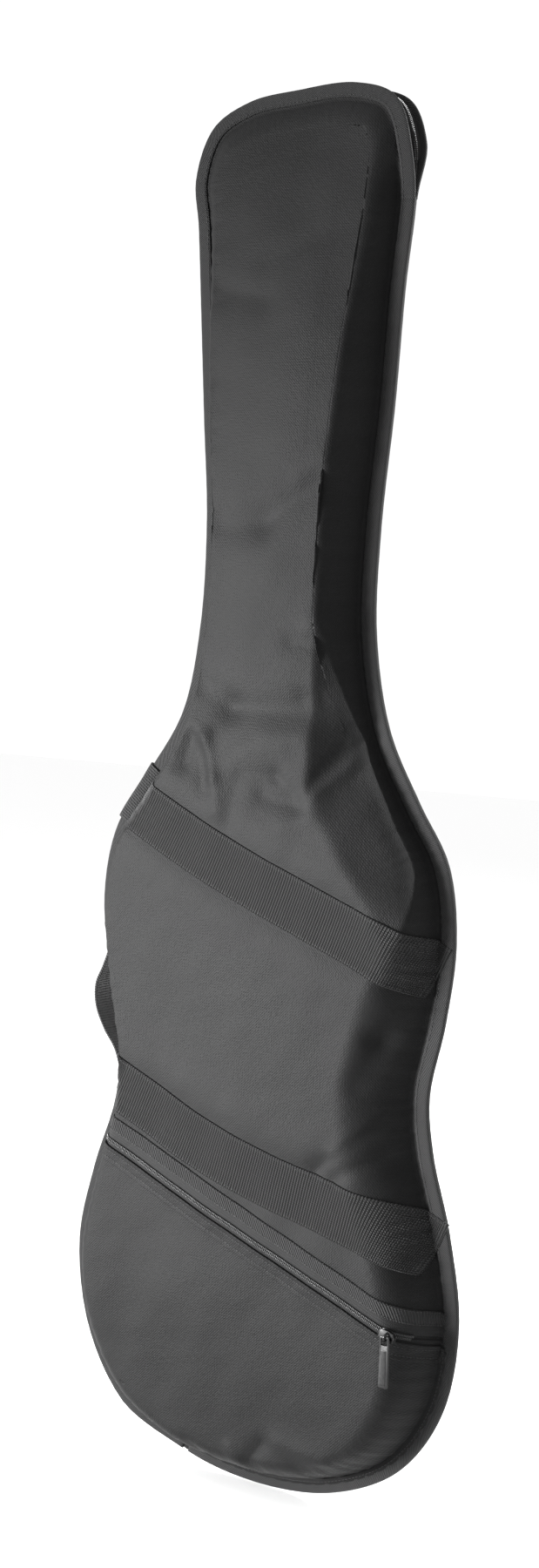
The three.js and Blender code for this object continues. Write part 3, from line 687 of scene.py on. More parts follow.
def twill_tape(name, light, pitch=0.0017):
    """Diagonal ribs of the binding and trim tapes."""
    paint = Paint(name, grey(light), 0.65, Specular_IOR_Level=0.15, Sheen_Weight=0.03)
    slant = paint.maths("ADD", paint.u, paint.maths("MULTIPLY", paint.v, 1.1))
    rib = paint.wave(slant, pitch)
    pick = paint.wave(paint.maths("SUBTRACT", paint.u, paint.v), 0.0009)
    fuzz = paint.noise(1400, 1.0)
    height = paint.maths("ADD", rib, paint.maths("MULTIPLY_ADD", pick, 0.3, fuzz))
    paint.colours(paint.maths("MULTIPLY_ADD", height, 0.26, 0.4), grey(light * 0.15), grey(light * 2.0))
    paint.bump(height, 0.0004, 1.0)
    return paint.material


def webbing_weave():
    """Polypropylene webbing: the ribs are in the mesh, the yarns along the band are here, and the colour is
    lighter on the rib crests and darker between them, painted highlight and painted shade.
    """
    paint = Paint("webbing", grey(0.007), 0.5, Specular_IOR_Level=0.16, Sheen_Weight=0.02)
    warp = paint.wave(paint.v, 0.0015)
    weft_ribs_and_painted_shade = paint.wave(paint.maths("ADD", paint.u, paint.maths("MULTIPLY", warp, 0.0003)), 0.0022)
    fuzz = paint.noise(1500, 2.0, (0.3, 1, 1))
    height = paint.maths("MULTIPLY_ADD", warp, 0.55, paint.maths("ADD", weft_ribs_and_painted_shade, fuzz))
    # The colour follows the same heights as the bump: the yarn pattern, plus painted highlight on the rib
    # crests and painted shade between them.
    paint.colours(paint.maths("MULTIPLY_ADD", height, 0.3, 0.42), grey(0.0012), grey(0.016))
    paint.bump(height, 0.0004, 1.0)
    return paint.material


def lining_fabric():
    paint = Paint("lining_taffeta", grey(0.012), 0.45, Specular_IOR_Level=0.2, Sheen_Weight=0.03)
    weave = paint.maths("MULTIPLY", paint.wave(paint.u, 0.0008), paint.wave(paint.v, 0.0008))
    crease_and_painted_shade = paint.noise(60, 3.0)
    # The colour follows the crease noise that also shapes the bump: painted shade in the crease hollows,
    # lighter on their tops.
    paint.colours(paint.maths("MULTIPLY_ADD", weave, 0.2, crease_and_painted_shade), grey(0.007), grey(0.018))
    paint.bump(paint.maths("MULTIPLY_ADD", weave, 0.15, crease_and_painted_shade), 0.0006, 0.6)
    return paint.material


def foam_cells():
    paint = Paint("foam", grey(0.1), 0.95, Specular_IOR_Level=0.1)
    cells = paint.node("ShaderNodeTexVoronoi")
    cells.inputs["Scale"].default_value = 900
    paint.link(paint.node("ShaderNodeTexCoord").outputs["UV"], cells.inputs["Vector"])
    paint.colours(cells.outputs[0], grey(0.16), grey(0.06))
    paint.bump(cells.outputs[0], 0.0004, 0.6)
    return paint.material


def zip_tape_weave():
    paint = Paint("zip_tape", grey(0.007), 0.65, Specular_IOR_Level=0.14, Sheen_Weight=0.02)
    chevron = paint.maths("ABSOLUTE", paint.wave(paint.v, 0.004))
    rib = paint.wave(paint.maths("ADD", paint.u, paint.maths("MULTIPLY", chevron, 0.001)), 0.0011)
    height = paint.maths("ADD", rib, paint.noise(1200, 1.0))
    paint.colours(paint.maths("MULTIPLY_ADD", height, 0.22, 0.4), grey(0.003), grey(0.01))
    paint.bump(height, 0.00014, 0.7)
    return paint.material


def coil_nylon():
    paint = Paint("coil_nylon", grey(0.012), 0.3, Specular_IOR_Level=0.4)
    scuff = paint.noise(700, 2.0)
    paint.colours(scuff, grey(0.008), grey(0.02))
    paint.rough(scuff, 0.24, 0.42)
    return paint.material


def black_metal():
    paint = Paint("black_metal", grey(0.005), 0.3, Specular_IOR_Level=0.2, Coat_Weight=0.06,
                  Coat_Roughness=0.25)
    wear = paint.noise(420, 5.0)
    paint.colours(paint.maths("POWER", wear, 4.0), grey(0.003), grey(0.016))
    paint.rough(wear, 0.24, 0.44)
    paint.bump(paint.noise(900, 2.0), 0.00003, 0.5)
    return paint.material


def thread_twist():
    paint = Paint("thread", grey(0.008), 0.5, Specular_IOR_Level=0.3)
    twist = paint.wave(paint.maths("ADD", paint.u, paint.v), 0.0005)
    paint.colours(paint.maths("MULTIPLY_ADD", twist, 0.5, 0.5), grey(0.004), grey(0.013))
    paint.bump(twist, 0.00005, 0.6)
    return paint.material


COVER = cover_fabric()
BINDING = twill_tape("binding_twill", 0.015)
TRIM = twill_tape("trim_twill", 0.01, 0.0024)
WEBBING = webbing_weave()
LINING_CLOTH = lining_fabric()
FOAM_CELLS = foam_cells()
TAPE = zip_tape_weave()
COIL = coil_nylon()
METAL = black_metal()
THREAD = thread_twist()


def opens(obj, slot, *nodes):
    """A piece of the front: hides the CAD parts it stands for and bakes its placement into its points."""
    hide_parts(*nodes)
    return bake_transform(obj)


def stays(obj, slot, body, *nodes):
    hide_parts(*nodes)
    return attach(obj, body)


def both(name):
    return f"{name}_flap", f"{name}_fixed"


# ---------------------------------------------------------------- cover, padding and lining
front = Panel(FRONT_DEPTH, 1, FINE, relief=front_relief, carve=shoulder_carve)
back = Panel(BACK_DEPTH, -1, FINE, relief=back_relief)
opens(thick_panel("front_cover", front, FABRIC, COVER), "cover_fabric", *both("front_cover"))
stays(thick_panel("back_cover", back, FABRIC, COVER), "cover_fabric", "root", "back_cover")


def soft_layer(name, between, depth, facing, relief, rim, base, material):
    carve = (lambda x, z: shoulder_carve(x, z) - LAYER_SLACK) if facing > 0 else None
    outer = Panel(depth, facing, COARSE, between[0], rim, base, relief, carve=carve)
    inner = Panel(depth, facing, COARSE, between[1], rim, base - (between[1] - between[0]) * bool(rim),
                  relief, carve=carve)
    return shell(name, outer, inner.points, inner.faces, inner.rim, inner.uvs, material)


for side, depth, facing, relief in (("front", FRONT_DEPTH, 1, front_relief),
                                    ("back", BACK_DEPTH, -1, back_relief)):
    foam = soft_layer(f"{side}_padding", FOAM, depth, facing, relief, (), -FLANGE_HALF, FOAM_CELLS)
    inside = soft_layer(f"{side}_lining", LINING, depth, facing, relief, (11.8,), -FLANGE_HALF - 0.2,
                        LINING_CLOTH)
    if side == "front":
        opens(foam, "foam", *both("front_padding"))
        opens(inside, "lining_fabric", *both("front_lining"))
    else:
        stays(foam, "foam", "root", "back_padding")
        stays(inside, "lining_fabric", "root", "back_lining")

# ---------------------------------------------------------------- a ray onto the front cover
front_tree = BVHTree.FromPolygons(front.points.tolist(), front.faces.tolist())


def on_front(flat, over=0.0):
    """The front cover's surface at (..., 2) places in x and z."""
    shape = flat.shape[:-1]
    heights = np.empty(int(np.prod(shape)))
    for k, (x, z) in enumerate(flat.reshape(-1, 2)):
        hit = front_tree.ray_cast(Vector((x, -200, z)), Vector((0, 1, 0)))[0]
        heights[k] = hit.y if hit else np.nan
    y = heights.reshape(shape)
    y = np.where(np.isnan(y), -CLOSED_HALF - FLANGE_HALF, y)
    return np.stack([flat[..., 0], y - over, flat[..., 1]], axis=-1)


def grid_normals(points):
    """Normals of an (n, m, 3) grid, pointing away from the front."""
    along = np.gradient(points, axis=0)
    across = np.gradient(points, axis=1)
    n = unit(np.cross(along, across))
    return n * np.where(n[..., 1:2] > 0, -1, 1)


def trimmed(line, inset):
    """The part of a 2-D polyline that is further than inset inside the outline."""
    border = edge_at(np.arange(0, POINTS, BORDER_STEP), 0)
    a, b = border, np.roll(border, -1, axis=0)
    inside = []
    for p in line:
        straddles = (a[:, 1] > p[1]) != (b[:, 1] > p[1])
        with np.errstate(divide="ignore", invalid="ignore"):
            x = a[:, 0] + (p[1] - a[:, 1]) * (b[:, 0] - a[:, 0]) / (b[:, 1] - a[:, 1])
        crossing = np.count_nonzero(straddles & (x > p[0]))
        inside.append(crossing % 2 == 1 and np.min(np.hypot(*(border - p).T)) > inset)
    kept = np.nonzero(inside)[0]
    return kept[0], kept[-1]


def front_strip(path, tangents, low, high, across_steps, along_step, end_inset):
    """Grid of points over the front cover along a 2-D path, between two distances across it."""
    first, last = trimmed(path, end_inset)
    path, tangents = path[first:last + 1], tangents[first:last + 1]
    centre = on_front(path)
    run = run_along(centre)
    wanted = np.linspace(0, run[-1], int(run[-1] / along_step) + 1)
    flat = np.stack([np.interp(wanted, run, path[:, k]) for k in range(2)], axis=1)
    turn = unit(np.stack([np.interp(wanted, run, tangents[:, k]) for k in range(2)], axis=1))
    across = np.linspace(low, high, across_steps)
    side = np.stack([-turn[:, 1], turn[:, 0]], axis=1)
    points = on_front(flat[:, None] + side[:, None] * across[None, :, None])
    uvs = np.stack(np.broadcast_arrays(wanted[:, None], across[None, :]), axis=-1) * MM
    return points, uvs


# ---------------------------------------------------------------- webbing bands on the front
def woven_relief(uvs):
    """Ribs across the webbing, the next yarn along always half a rib on."""
    run, across = uvs[..., 0] / MM, uvs[..., 1] / MM
    lane = np.sin(2 * math.pi * across / 3.0)
    return RIB_HEIGHT * (0.62 * np.sin(2 * math.pi * run / RIB_PITCH + 0.5 * lane) + 0.3 * np.sin(
        2 * math.pi * across / 1.9)) / 2


def band(name, line, node, end_inset):
    path, tangents = spline(line, 500)
    points, uvs = front_strip(path, tangents, -BAND_WIDTH / 2, BAND_WIDTH / 2, 60, WEBBING_STEP,
                             end_inset)
    normals = grid_normals(points)
    selvedge = 0.25 * np.exp(-(((BAND_WIDTH / 2 - np.abs(uvs[..., 1] / MM)) / 1.6) ** 2))
    thick = BAND_THICK + woven_relief(uvs) + selvedge
    obj = ribbon(name, points, normals, 0.15, thick, uvs, WEBBING)
    opens(obj, "webbing", *both(node))
    return points, uvs, normals


def stitch_row(name, points, normals, body, pitch=STITCH_PITCH, length=2.3, radius=0.27, sink=0.0):
    """Stitches along a 3-D path with a normal at each point."""
    run = run_along(points)
    at = np.arange(pitch / 2, run[-1], pitch)
    centres = np.stack([np.interp(at, run, points[:, k]) for k in range(3)], axis=1)
    ahead = np.stack([np.interp(at + 0.5, run, points[:, k]) for k in range(3)], axis=1)
    behind = np.stack([np.interp(at - 0.5, run, points[:, k]) for k in range(3)], axis=1)
    along = unit(ahead - behind)
    up = np.stack([np.interp(at, run, normals[:, k]) for k in range(3)], axis=1)
    up = unit(up - along * np.sum(up * along, axis=1, keepdims=True))
    obj = beads(name, centres - up * sink, along, up, capsule(length, radius), THREAD)
    if body is None:
        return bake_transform(obj)
    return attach(obj, body)


for name, line in (("upper_band", UPPER_BAND), ("lower_band", LOWER_BAND)):
    points, uvs, normals = band(name, line, name, STRIP_INSET)
    for label, row in (("lower", 3), ("upper", -4)):
        lifted = points[:, row] + normals[:, row] * (BAND_THICK + 0.3)
        stitch_row(f"{name}_stitches_{label}", lifted, normals[:, row], None)

# ---------------------------------------------------------------- pocket and its zip
zip_along = unit(POCKET_ZIP_RIGHT - POCKET_ZIP_LEFT)
zip_across = np.array([-zip_along[1], zip_along[0]])
zip_length = np.linalg.norm(POCKET_ZIP_RIGHT - POCKET_ZIP_LEFT)
zip_path = POCKET_ZIP_LEFT + zip_along * np.linspace(-20, zip_length + 20, 700)[:, None]
zip_tangents = np.tile(zip_along, (700, 1))


def pocket_strip(name, low, high, lift, thickness, material, slot, nodes, steps=9, step=2.0, relief=0.0):
    path = zip_path + zip_across * (low + high) / 2
    half = (high - low) / 2
    points, uvs = front_strip(path, zip_tangents, -half, half, steps, step, STRIP_INSET)
    normals = grid_normals(points)
    thick = thickness + relief * waves(uvs[..., 0] / MM, uvs[..., 1] / MM, 14, 21)
    obj = ribbon(name, points, normals, lift, thick, uvs, material, 0.25)
    opens(obj, slot, *nodes)
    return points, normals, uvs


trim_points, trim_normals, _ = pocket_strip(
    "pocket_trim", 8.4, 18.6, 0.2, 1.15, TRIM, "binding_tape", both("pocket_trim"), 11, 2.0, 0.12)
pocket_strip("pocket_zip_tape_upper", 1.2, 8.9, 0.1, 0.75, TAPE, "zip_tape", both("pocket_zip_tape_upper"))
pocket_strip("pocket_zip_tape_lower", -6.5, -1.2, 0.1, 0.75, TAPE, "zip_tape", both("pocket_zip_tape_lower"))
for label, column in (("lower", 1), ("upper", -2)):
    stitch_row(f"pocket_trim_stitches_{label}", trim_points[:, column] + trim_normals[:, column] * 1.4,
               trim_normals[:, column], None)

HEM_TOP = -4.4                  # the folded hem's edge, below the zip's centre line
HEM_WIDTH = 13
PANEL_LIFT = 1.0
PANEL_THICK = 0.8


def pocket_panel():
    """The cover's own surface below the hem line, lifted off it and thickened."""
    work = bmesh.new()
    layer = work.verts.layers.float.new("inset")
    verts = [work.verts.new(p) for p in front.points]
    for vert, inset in zip(verts, front.inset):
        vert[layer] = inset
    limit = POCKET_ZIP_LEFT[1] + 30
    for f in front.faces:
        corner = front.points[f]
        if corner[:, 2].min() < limit and front.inset[f].min() > 6:
            work.faces.new([verts[i] for i in f])
    bmesh.ops.delete(work, geom=[v for v in work.verts if not v.link_faces], context="VERTS")
    cut = POCKET_ZIP_LEFT + zip_across * (HEM_TOP - 2.5)
    bmesh.ops.bisect_plane(
        work, geom=work.verts[:] + work.edges[:] + work.faces[:], plane_co=(cut[0], 0, cut[1]),
        plane_no=(zip_across[0], 0, zip_across[1]), clear_outer=True)
    work.verts.ensure_lookup_table()
    work.normal_update()
    points = np.array([v.co for v in work.verts])
    normals = np.array([v.normal for v in work.verts])
    inset = np.array([v[layer] for v in work.verts])
    index = {v: k for k, v in enumerate(work.verts)}
    faces = [[index[v] for v in f.verts] for f in work.faces]
    rim = [[index[v] for v in e.verts] for e in work.edges if len(e.link_faces) == 1]
    work.free()
    away = -((points[:, [0, 2]] - POCKET_ZIP_LEFT) @ zip_across) + HEM_TOP
    lift = PANEL_LIFT * ramp((inset - 8) / 8) + 0.1
    slack = 1.2 * ramp((inset - 14) / 30) * ramp((away - 14) / 40)
    lift = lift + slack * (1 + 0.6 * waves(points[:, 0], points[:, 2], 120, 31))
    top = points + normals * (lift + PANEL_THICK)[:, None]
    low = points + normals * lift[:, None] * 0.6
    count = len(points)
    every = faces + [[i + count for i in reversed(f)] for f in faces]
    every += [[a, b, b + count, a + count] for a, b in rim]
    uvs = np.concatenate([points[:, [0, 2]]] * 2) * MM
    obj = make_object("pocket_panel", np.concatenate([top, low]), every, uvs, COVER)
    recalculate(obj)
    return obj


opens(pocket_panel(), "cover_fabric", *both("pocket_panel"))

hem_path = zip_path + zip_across * (HEM_TOP - HEM_WIDTH / 2)
hem_points, hem_uvs = front_strip(
    hem_path, zip_tangents, -HEM_WIDTH / 2, HEM_WIDTH / 2, 16, 1.6, STRIP_INSET)
hem_normals = grid_normals(hem_points)
hem_across = hem_uvs[..., 1] / MM + HEM_WIDTH / 2
hem_lift = PANEL_LIFT + 0.1 + 0.75 * ramp((hem_across - 6) / 7)
hem_thick = PANEL_THICK + 0.28 + 0.12 * waves(hem_uvs[..., 0] / MM, hem_across, 9, 41)
for row in (3.2, 9.4):
    hem_thick = hem_thick - 0.3 * np.exp(-(((HEM_WIDTH - hem_across - row) / 1.0) ** 2))
hem_flat = hem_points[..., [0, 2]] * MM
hem = ribbon("pocket_hem", hem_points, hem_normals, hem_lift, hem_thick, hem_flat, COVER, 0.2)
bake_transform(hem)
for label, row in (("upper", 3.2), ("lower", 9.4)):
    column = int(np.argmin(np.abs(HEM_WIDTH - hem_across[0] - row)))
    height = (hem_lift + hem_thick)[:, column, None] + 0.1
    stitch_row(f"pocket_hem_stitches_{label}", hem_points[:, column] + hem_normals[:, column] * height,
               hem_normals[:, column], None, pitch=3.0, length=2.1)


def pocket_coil():
    """Two interlocked rows of nylon loops, each tooth straight across the chain."""
    inside = (zip_path[:, 0] > POCKET_CHAIN[0]) & (zip_path[:, 0] < POCKET_CHAIN[1])
    for label, sign in (("upper", 1), ("lower", -1)):
        path = on_front(even_steps(zip_path[inside] + zip_across * sign * 1.05, 0.55))
        run = run_along(path)
        at = np.arange(0.6 + 0.62 * (sign > 0), run[-1] - 1, 1.25)
        centres = np.stack([np.interp(at, run, path[:, k]) for k in range(3)], axis=1)
        along = unit(np.gradient(centres, axis=0))
        across = unit(np.array([zip_across[0], 0, zip_across[1]]) + np.zeros_like(along))
        up = unit(np.cross(along, across))
        up *= np.where(up[:, 1:2] > 0, -1, 1)
        across = unit(np.cross(up, along))
        yield label, centres + up * 1.75, across, up


coils = [beads(f"pocket_zip_coil_{label}", centres, across, up, capsule(2.5, 0.5, 1.3), COIL)
         for label, centres, across, up in pocket_coil()]
opens(coils[0], "zip_coil", *both("pocket_zip_coil"))
opens(coils[1], "zip_coil")

# ---------------------------------------------------------------- edge bindings and their stitches
def folded_tape(half, centre):
    """Section of a tape folded over a raw edge, as inset and y, with soft corners."""
    outer = [(BINDING_WIDTH, -0.92), (9.3, -0.97), (6, -1.0), (2.6, -1.0), (1.0, -0.9), (0.25, -0.55),
             (0, 0)]
    outer = outer + [(a, -b) for a, b in outer[-2::-1]]
    inner = [(BINDING_WIDTH, 1), (6, 1), (1.9, 0.9), (1.1, 0), (1.9, -0.9), (6, -1), (BINDING_WIDTH, -1)]

    def section(places):
        middle = centre(places)
        uneven = 0.14 * np.sin(places * 57) + 0.1 * np.sin(places * 91 + 2)
        swell = 0.12 * np.sin(places * 33 + np.cos(places * 7))
        rows = []
        for inset, share in outer:
            moved = inset + (uneven if inset > 5 else 0 * uneven)
            rows.append(np.stack([moved, middle + share * (half + swell)], axis=1))
        for inset, share in inner:
            moved = inset + (uneven if inset > 5 else 0 * uneven)
            rows.append(np.stack([moved, middle + share * (half + swell - BINDING_WALL)], axis=1))
        return np.stack(rows, axis=1)

    return section


def binding(name, start, end, half, centre):
    places = np.linspace(start, end, int((end - start) * 22))
    return sweep(name, places, folded_tape(half, centre), BINDING)


def binding_stitches(name, start, end, height, facing, body):
    places = np.linspace(start, end, int((end - start) * 24))
    flat = edge_at(places, STITCH_INSET)
    points = np.stack([flat[:, 0], height(places), flat[:, 1]], axis=1)
    normals = np.tile([0.0, facing, 0.0], (len(places), 1))
    stitch_row(name, points, normals, body)


def seam(places):
    return np.zeros(len(places))


def front_centre(places):
    return -flange_half(places)


def back_centre(places):
    return flange_half(places)


SEWN = (ZIP_END + 0.06 - POINTS, ZIP_START + 0.06)
ZIPPED = (ZIP_START + 0.03, ZIP_END - 0.03)
stays(binding("sewn_side_binding", *SEWN, SEWN_BINDING_HALF, seam), "binding_tape", "root",
      "sewn_side_binding")
opens(binding("front_zip_binding", *ZIPPED, ZIP_BINDING_HALF, front_centre), "binding_tape",
      "front_zip_binding")
stays(binding("back_zip_binding", *ZIPPED, ZIP_BINDING_HALF, back_centre), "binding_tape", "root",
      "back_zip_binding")
for label, facing in (("front", -1), ("back", 1)):
    binding_stitches(f"sewn_side_stitches_{label}", *SEWN,
                     lambda p, f=facing: seam(p) + f * (SEWN_BINDING_HALF + 0.1), facing, "root")
    binding_stitches(f"front_zip_stitches_{label}", *ZIPPED,
                     lambda p, f=facing: front_centre(p) + f * (ZIP_BINDING_HALF + 0.1), facing, None)
    binding_stitches(f"back_zip_stitches_{label}", *ZIPPED,
                     lambda p, f=facing: back_centre(p) + f * (ZIP_BINDING_HALF + 0.1), facing, "root")

# ---------------------------------------------------------------- main zip
CHAIN = (ZIP_START + 0.62, ZIP_END - 0.62)


def gusset_tape(name, sign):
    """Half of the zip's tape, from the chain to its binding, bowed a little inwards."""
    places = np.linspace(*CHAIN, int((CHAIN[1] - CHAIN[0]) * 14))
    far = flange_half(places) - 0.6
    share = np.linspace(0, 1, 8)
    near = 0.7
    y = sign * (near + (far[:, None] - near) * share)
    inset = TAPE_INSET + 0.35 + 0.9 * np.sin(math.pi * share) + 0.18 * np.sin(places[:, None] * 29)
    rows = []
    for extra in (0.0, 0.8):
        flat = np.stack([edge_at(places, inset[:, k] + extra) for k in range(8)], axis=1)
        layer = np.stack([flat[..., 0], y, flat[..., 1]], axis=-1)
        rows.append(layer if extra == 0 else layer[:, ::-1])
    return tube(name, np.concatenate(rows, axis=1), TAPE)


def chain_teeth(name, sign):
    places = np.linspace(*CHAIN, 6000)
    flat = edge_at(places, TAPE_INSET - 0.5)
    run = run_along(flat)
    at = np.arange(0.7 + 0.7 * (sign > 0), run[-1] - 1, 1.4)
    counts = np.interp(at, run, places)
    point, tangent = outline_at(counts)
    inner = inwards(tangent)
    spot = point + inner * (TAPE_INSET - 0.35)
    centres = np.stack([spot[:, 0], np.full(len(at), sign * 0.95), spot[:, 1]], axis=1)
    up = -np.stack([inner[:, 0], np.zeros(len(at)), inner[:, 1]], axis=1)
    across = np.tile([0.0, 1.0, 0.0], (len(at), 1))
    return beads(name, centres, across, up, capsule(2.3, 0.52, 1.3), COIL)


opens(gusset_tape("main_zip_tape_front", -1), "zip_tape", "main_zip_tape_front")
stays(gusset_tape("main_zip_tape_back", 1), "zip_tape", "root", "main_zip_tape_back")
opens(chain_teeth("main_zip_coil_front", -1), "zip_coil", "main_zip_coil_front")
stays(chain_teeth("main_zip_coil_back", 1), "zip_coil", "root", "main_zip_coil_back")


# ---------------------------------------------------------------- sliders, pulls and stops
def plate(name, outline, holes, thickness, bevel):
    """Flat metal piece with rounded edges: outlines in local x and z, thickness along y."""
    curve = bpy.data.curves.new(name, "CURVE")
    curve.dimensions, curve.fill_mode = "2D", "BOTH"
    curve.extrude = (thickness / 2 - bevel) * MM
    curve.bevel_depth, curve.bevel_resolution, curve.offset = bevel * MM, 2, -bevel * MM
    for loop in (outline, *holes):
        stroke = curve.splines.new("POLY")
        stroke.points.add(len(loop) - 1)
        for point, (x, z) in zip(stroke.points, loop):
            point.co = (x * MM, z * MM, 0, 1)
        stroke.use_cyclic_u = True
    holder = bpy.data.objects.new(name, curve)
    bpy.context.scene.collection.objects.link(holder)
    bpy.context.view_layer.update()
    mesh = bpy.data.meshes.new_from_object(holder.evaluated_get(bpy.context.evaluated_depsgraph_get()))
    bpy.data.objects.remove(holder)
    mesh.transform(Matrix.Rotation(math.pi / 2, 4, "X"))
    return mesh


def rounded(half_x, low, high, radius, steps=5):
    """Corners of a rounded rectangle, anticlockwise, in x and z."""
    points = []
    for cx, cz, start in ((half_x - radius, high - radius, 0), (radius - half_x, high - radius, 90),
                          (radius - half_x, low + radius, 180), (half_x - radius, low + radius, 270)):
        for k in range(steps + 1):
            angle = math.radians(start + 90 * k / steps)
            points.append((cx + radius * math.cos(angle), cz + radius * math.sin(angle)))
    return points


def joined(name, meshes, basis, origin, body, node):
    """One piece from local meshes, placed by its three axes and an outline-frame origin."""
    work = bmesh.new()
    for mesh in meshes:
        work.from_mesh(mesh)
    bmesh.ops.remove_doubles(work, verts=work.verts[:], dist=1e-6)
    bmesh.ops.recalc_face_normals(work, faces=work.faces[:])
    result = bpy.data.meshes.new(name)
    work.to_mesh(result)
    work.free()
    turn = Matrix([[*row, 0] for row in np.array(basis, float).T] + [[0, 0, 0, 1]])
    result.transform(Matrix.Translation(Vector(place([origin])[0])) @ turn)
    result.polygons.foreach_set("use_smooth", np.ones(len(result.polygons), bool))
    while result.uv_layers:
        result.uv_layers.remove(result.uv_layers[0])
    layer = result.uv_layers.new(name="cloth")
    corner = np.zeros(len(result.loops), int)
    result.loops.foreach_get("vertex_index", corner)
    spots = np.array([v.co for v in result.vertices])[corner]
    layer.data.foreach_set("uv", spots[:, [0, 2]].astype(np.float32).ravel())
    result.materials.clear()
    result.materials.append(METAL)
    obj = bpy.data.objects.new(name, result)
    bpy.context.scene.collection.objects.link(obj)
    return stays(obj, "black_metal", body, node)


def moved(mesh, x=0.0, y=0.0, z=0.0, turn=None):
    if turn is not None:
        mesh.transform(turn)
    mesh.transform(Matrix.Translation((x * MM, y * MM, z * MM)))
    return mesh


QUARTER_TURN = Matrix.Rotation(math.pi / 2, 4, "Y")
BRIDGE_RISE = 4.0
BRIDGE_SPAN = 6.6
SLIDER_SIZE = (13, 4.6)         # length and half width


def bridge(rise, plate_y, span):
    """The slider's arched loop, a bent rod along local x, over its plate."""
    angle = np.linspace(-0.15, 1.15, 25) * math.pi
    path = np.stack([np.cos(angle) * span / 2, -(plate_y + np.maximum(np.sin(angle), -0.3) * rise)], axis=1)
    sides = []
    for k, (x, y) in enumerate(path):
        around = np.linspace(0, 2 * math.pi, 10, endpoint=False)
        ahead = path[min(k + 1, 24)] - path[max(k - 1, 0)]
        ahead = ahead / np.linalg.norm(ahead)
        normal = np.array([-ahead[1], ahead[0]])
        ring = [(x + normal[0] * 0.75 * math.cos(a), y + normal[1] * 0.75 * math.cos(a), 1.0 * math.sin(a))
                for a in around]
        sides.append(ring)
    points = np.array(sides)
    index = np.arange(points.shape[0] * 10).reshape(-1, 10)
    faces = [list(map(int, f)) for f in grid_faces(index, closed=True)]
    faces += [list(map(int, index[0][::-1])), list(map(int, index[-1]))]
    mesh = bpy.data.meshes.new("bridge")
    mesh.from_pydata((points.reshape(-1, 3) * MM).tolist(), [], faces)
    return mesh


def slider_meshes(plate_y, base_y, length, half):
    """Top and bottom plates with a waist between them; travel is along local x."""
    nose = [(length / 2 - 2.2, half - 0.6), (length / 2, 1.9), (length / 2, -1.9),
            (length / 2 - 2.2, -half + 0.6)]
    tail = [(-length / 2 + 1.2, -half + 1.2), (-length / 2, -2.6), (-length / 2, 2.6),
            (-length / 2 + 1.2, half - 1.2)]
    outline = [(0.5, half), *nose, (0.5, -half), (-2.5, -half + 0.5), *tail, (-2.5, half - 0.5)][::-1]
    top = moved(plate("plate", outline, [], 1.5, 0.4), y=-(plate_y - 0.75))
    bottom = moved(plate("plate", outline, [], 0.9, 0.3), y=-base_y)
    waist = moved(plate("plate", rounded(1.6, -1.0, 1.0, 0.9), [], plate_y - base_y, 0.2),
                  x=length / 2 - 2.4, y=-(plate_y + base_y) / 2)
    return [top, bottom, waist]


def pull_mesh(length, width=8.0, thick=1.6):
    """A plain tab with an eye for the bridge; its cross piece lies on local x."""
    outline = rounded(width / 2, -length, 0.8, 1.3)
    hole = rounded(2.5, -6.0, -0.8, 0.7)[::-1]
    grip = moved(plate("grip", rounded(width / 2 - 1.7, -length + 2, -9.5, 0.9), [], thick + 0.5, 0.25), 0)
    return [plate("tab", outline, [hole], thick, 0.4), grip]


slider_xz = POCKET_ZIP_LEFT + zip_along * (POCKET_SLIDER_X - POCKET_ZIP_LEFT[0]) / zip_along[0]
pocket_face = -plateau_depth(slider_xz[1], FRONT_DEPTH)
along3 = np.array([zip_along[0], 0, zip_along[1]])
pocket_basis = (along3, (0, 1, 0), np.cross(along3, (0, 1, 0)))
joined("pocket_slider", [*slider_meshes(5.2, 1.7, *SLIDER_SIZE),
                         moved(bridge(BRIDGE_RISE, 4.6, BRIDGE_SPAN), turn=QUARTER_TURN)],
       pocket_basis, (slider_xz[0], pocket_face, slider_xz[1]), "pocket_slider", "pocket_slider")
joined("pocket_slider_pull", pull_mesh(38), np.eye(3),
       (slider_xz[0], pocket_face - 7.0, slider_xz[1]), "pocket_pull", "pocket_slider_pull")


def main_slider(name, z, high_place, low_place, body):
    high = edge_at([high_place], TAPE_INSET)[0]
    low = edge_at([low_place], TAPE_INSET)[0]
    share = (z - low[1]) / (high[1] - low[1])
    along = unit(high - low)
    up = np.array([along[0], 0, along[1]])
    inner = np.array([along[1], 0, -along[0]])
    origin = np.array([mix(low[0], high[0], share), 0.0, z])
    travel = (up, inner, np.cross(up, inner))
    joined(f"main_zip_{name}", [*slider_meshes(2.9, -0.9, *SLIDER_SIZE),
                                moved(bridge(BRIDGE_RISE, 2.3, BRIDGE_SPAN), turn=QUARTER_TURN)],
           travel, origin, body, f"main_zip_{name}")
    across = np.cross(inner, up)
    joined(f"main_zip_{name}_pull", pull_mesh(30), (across, inner, up), origin - inner * 4.6,
           body.replace("slider", "pull"), f"main_zip_{name}_pull")


main_slider("upper_slider", UPPER_SLIDER_Z, 26, 28, "upper_slider")
main_slider("lower_slider", LOWER_SLIDER_Z, 28, 29, "lower_slider")

for name, at in (("main_zip_top_stop", CHAIN[0] - 0.07), ("main_zip_end_stop", CHAIN[1] + 0.07)):
    point, tangent = outline_at([at])
    along = np.array([tangent[0][0], 0, tangent[0][1]])
    inner = np.array([-tangent[0][1], 0, tangent[0][0]])
    spot = point[0] + inwards(tangent)[0] * (TAPE_INSET + 0.5)
    joined(name, [plate(name, rounded(2.2, -1.8, 1.8, 0.8), [], 2.4, 0.5)],
           (along, inner, np.cross(along, inner)), (spot[0], 0, spot[1]), "root", name)


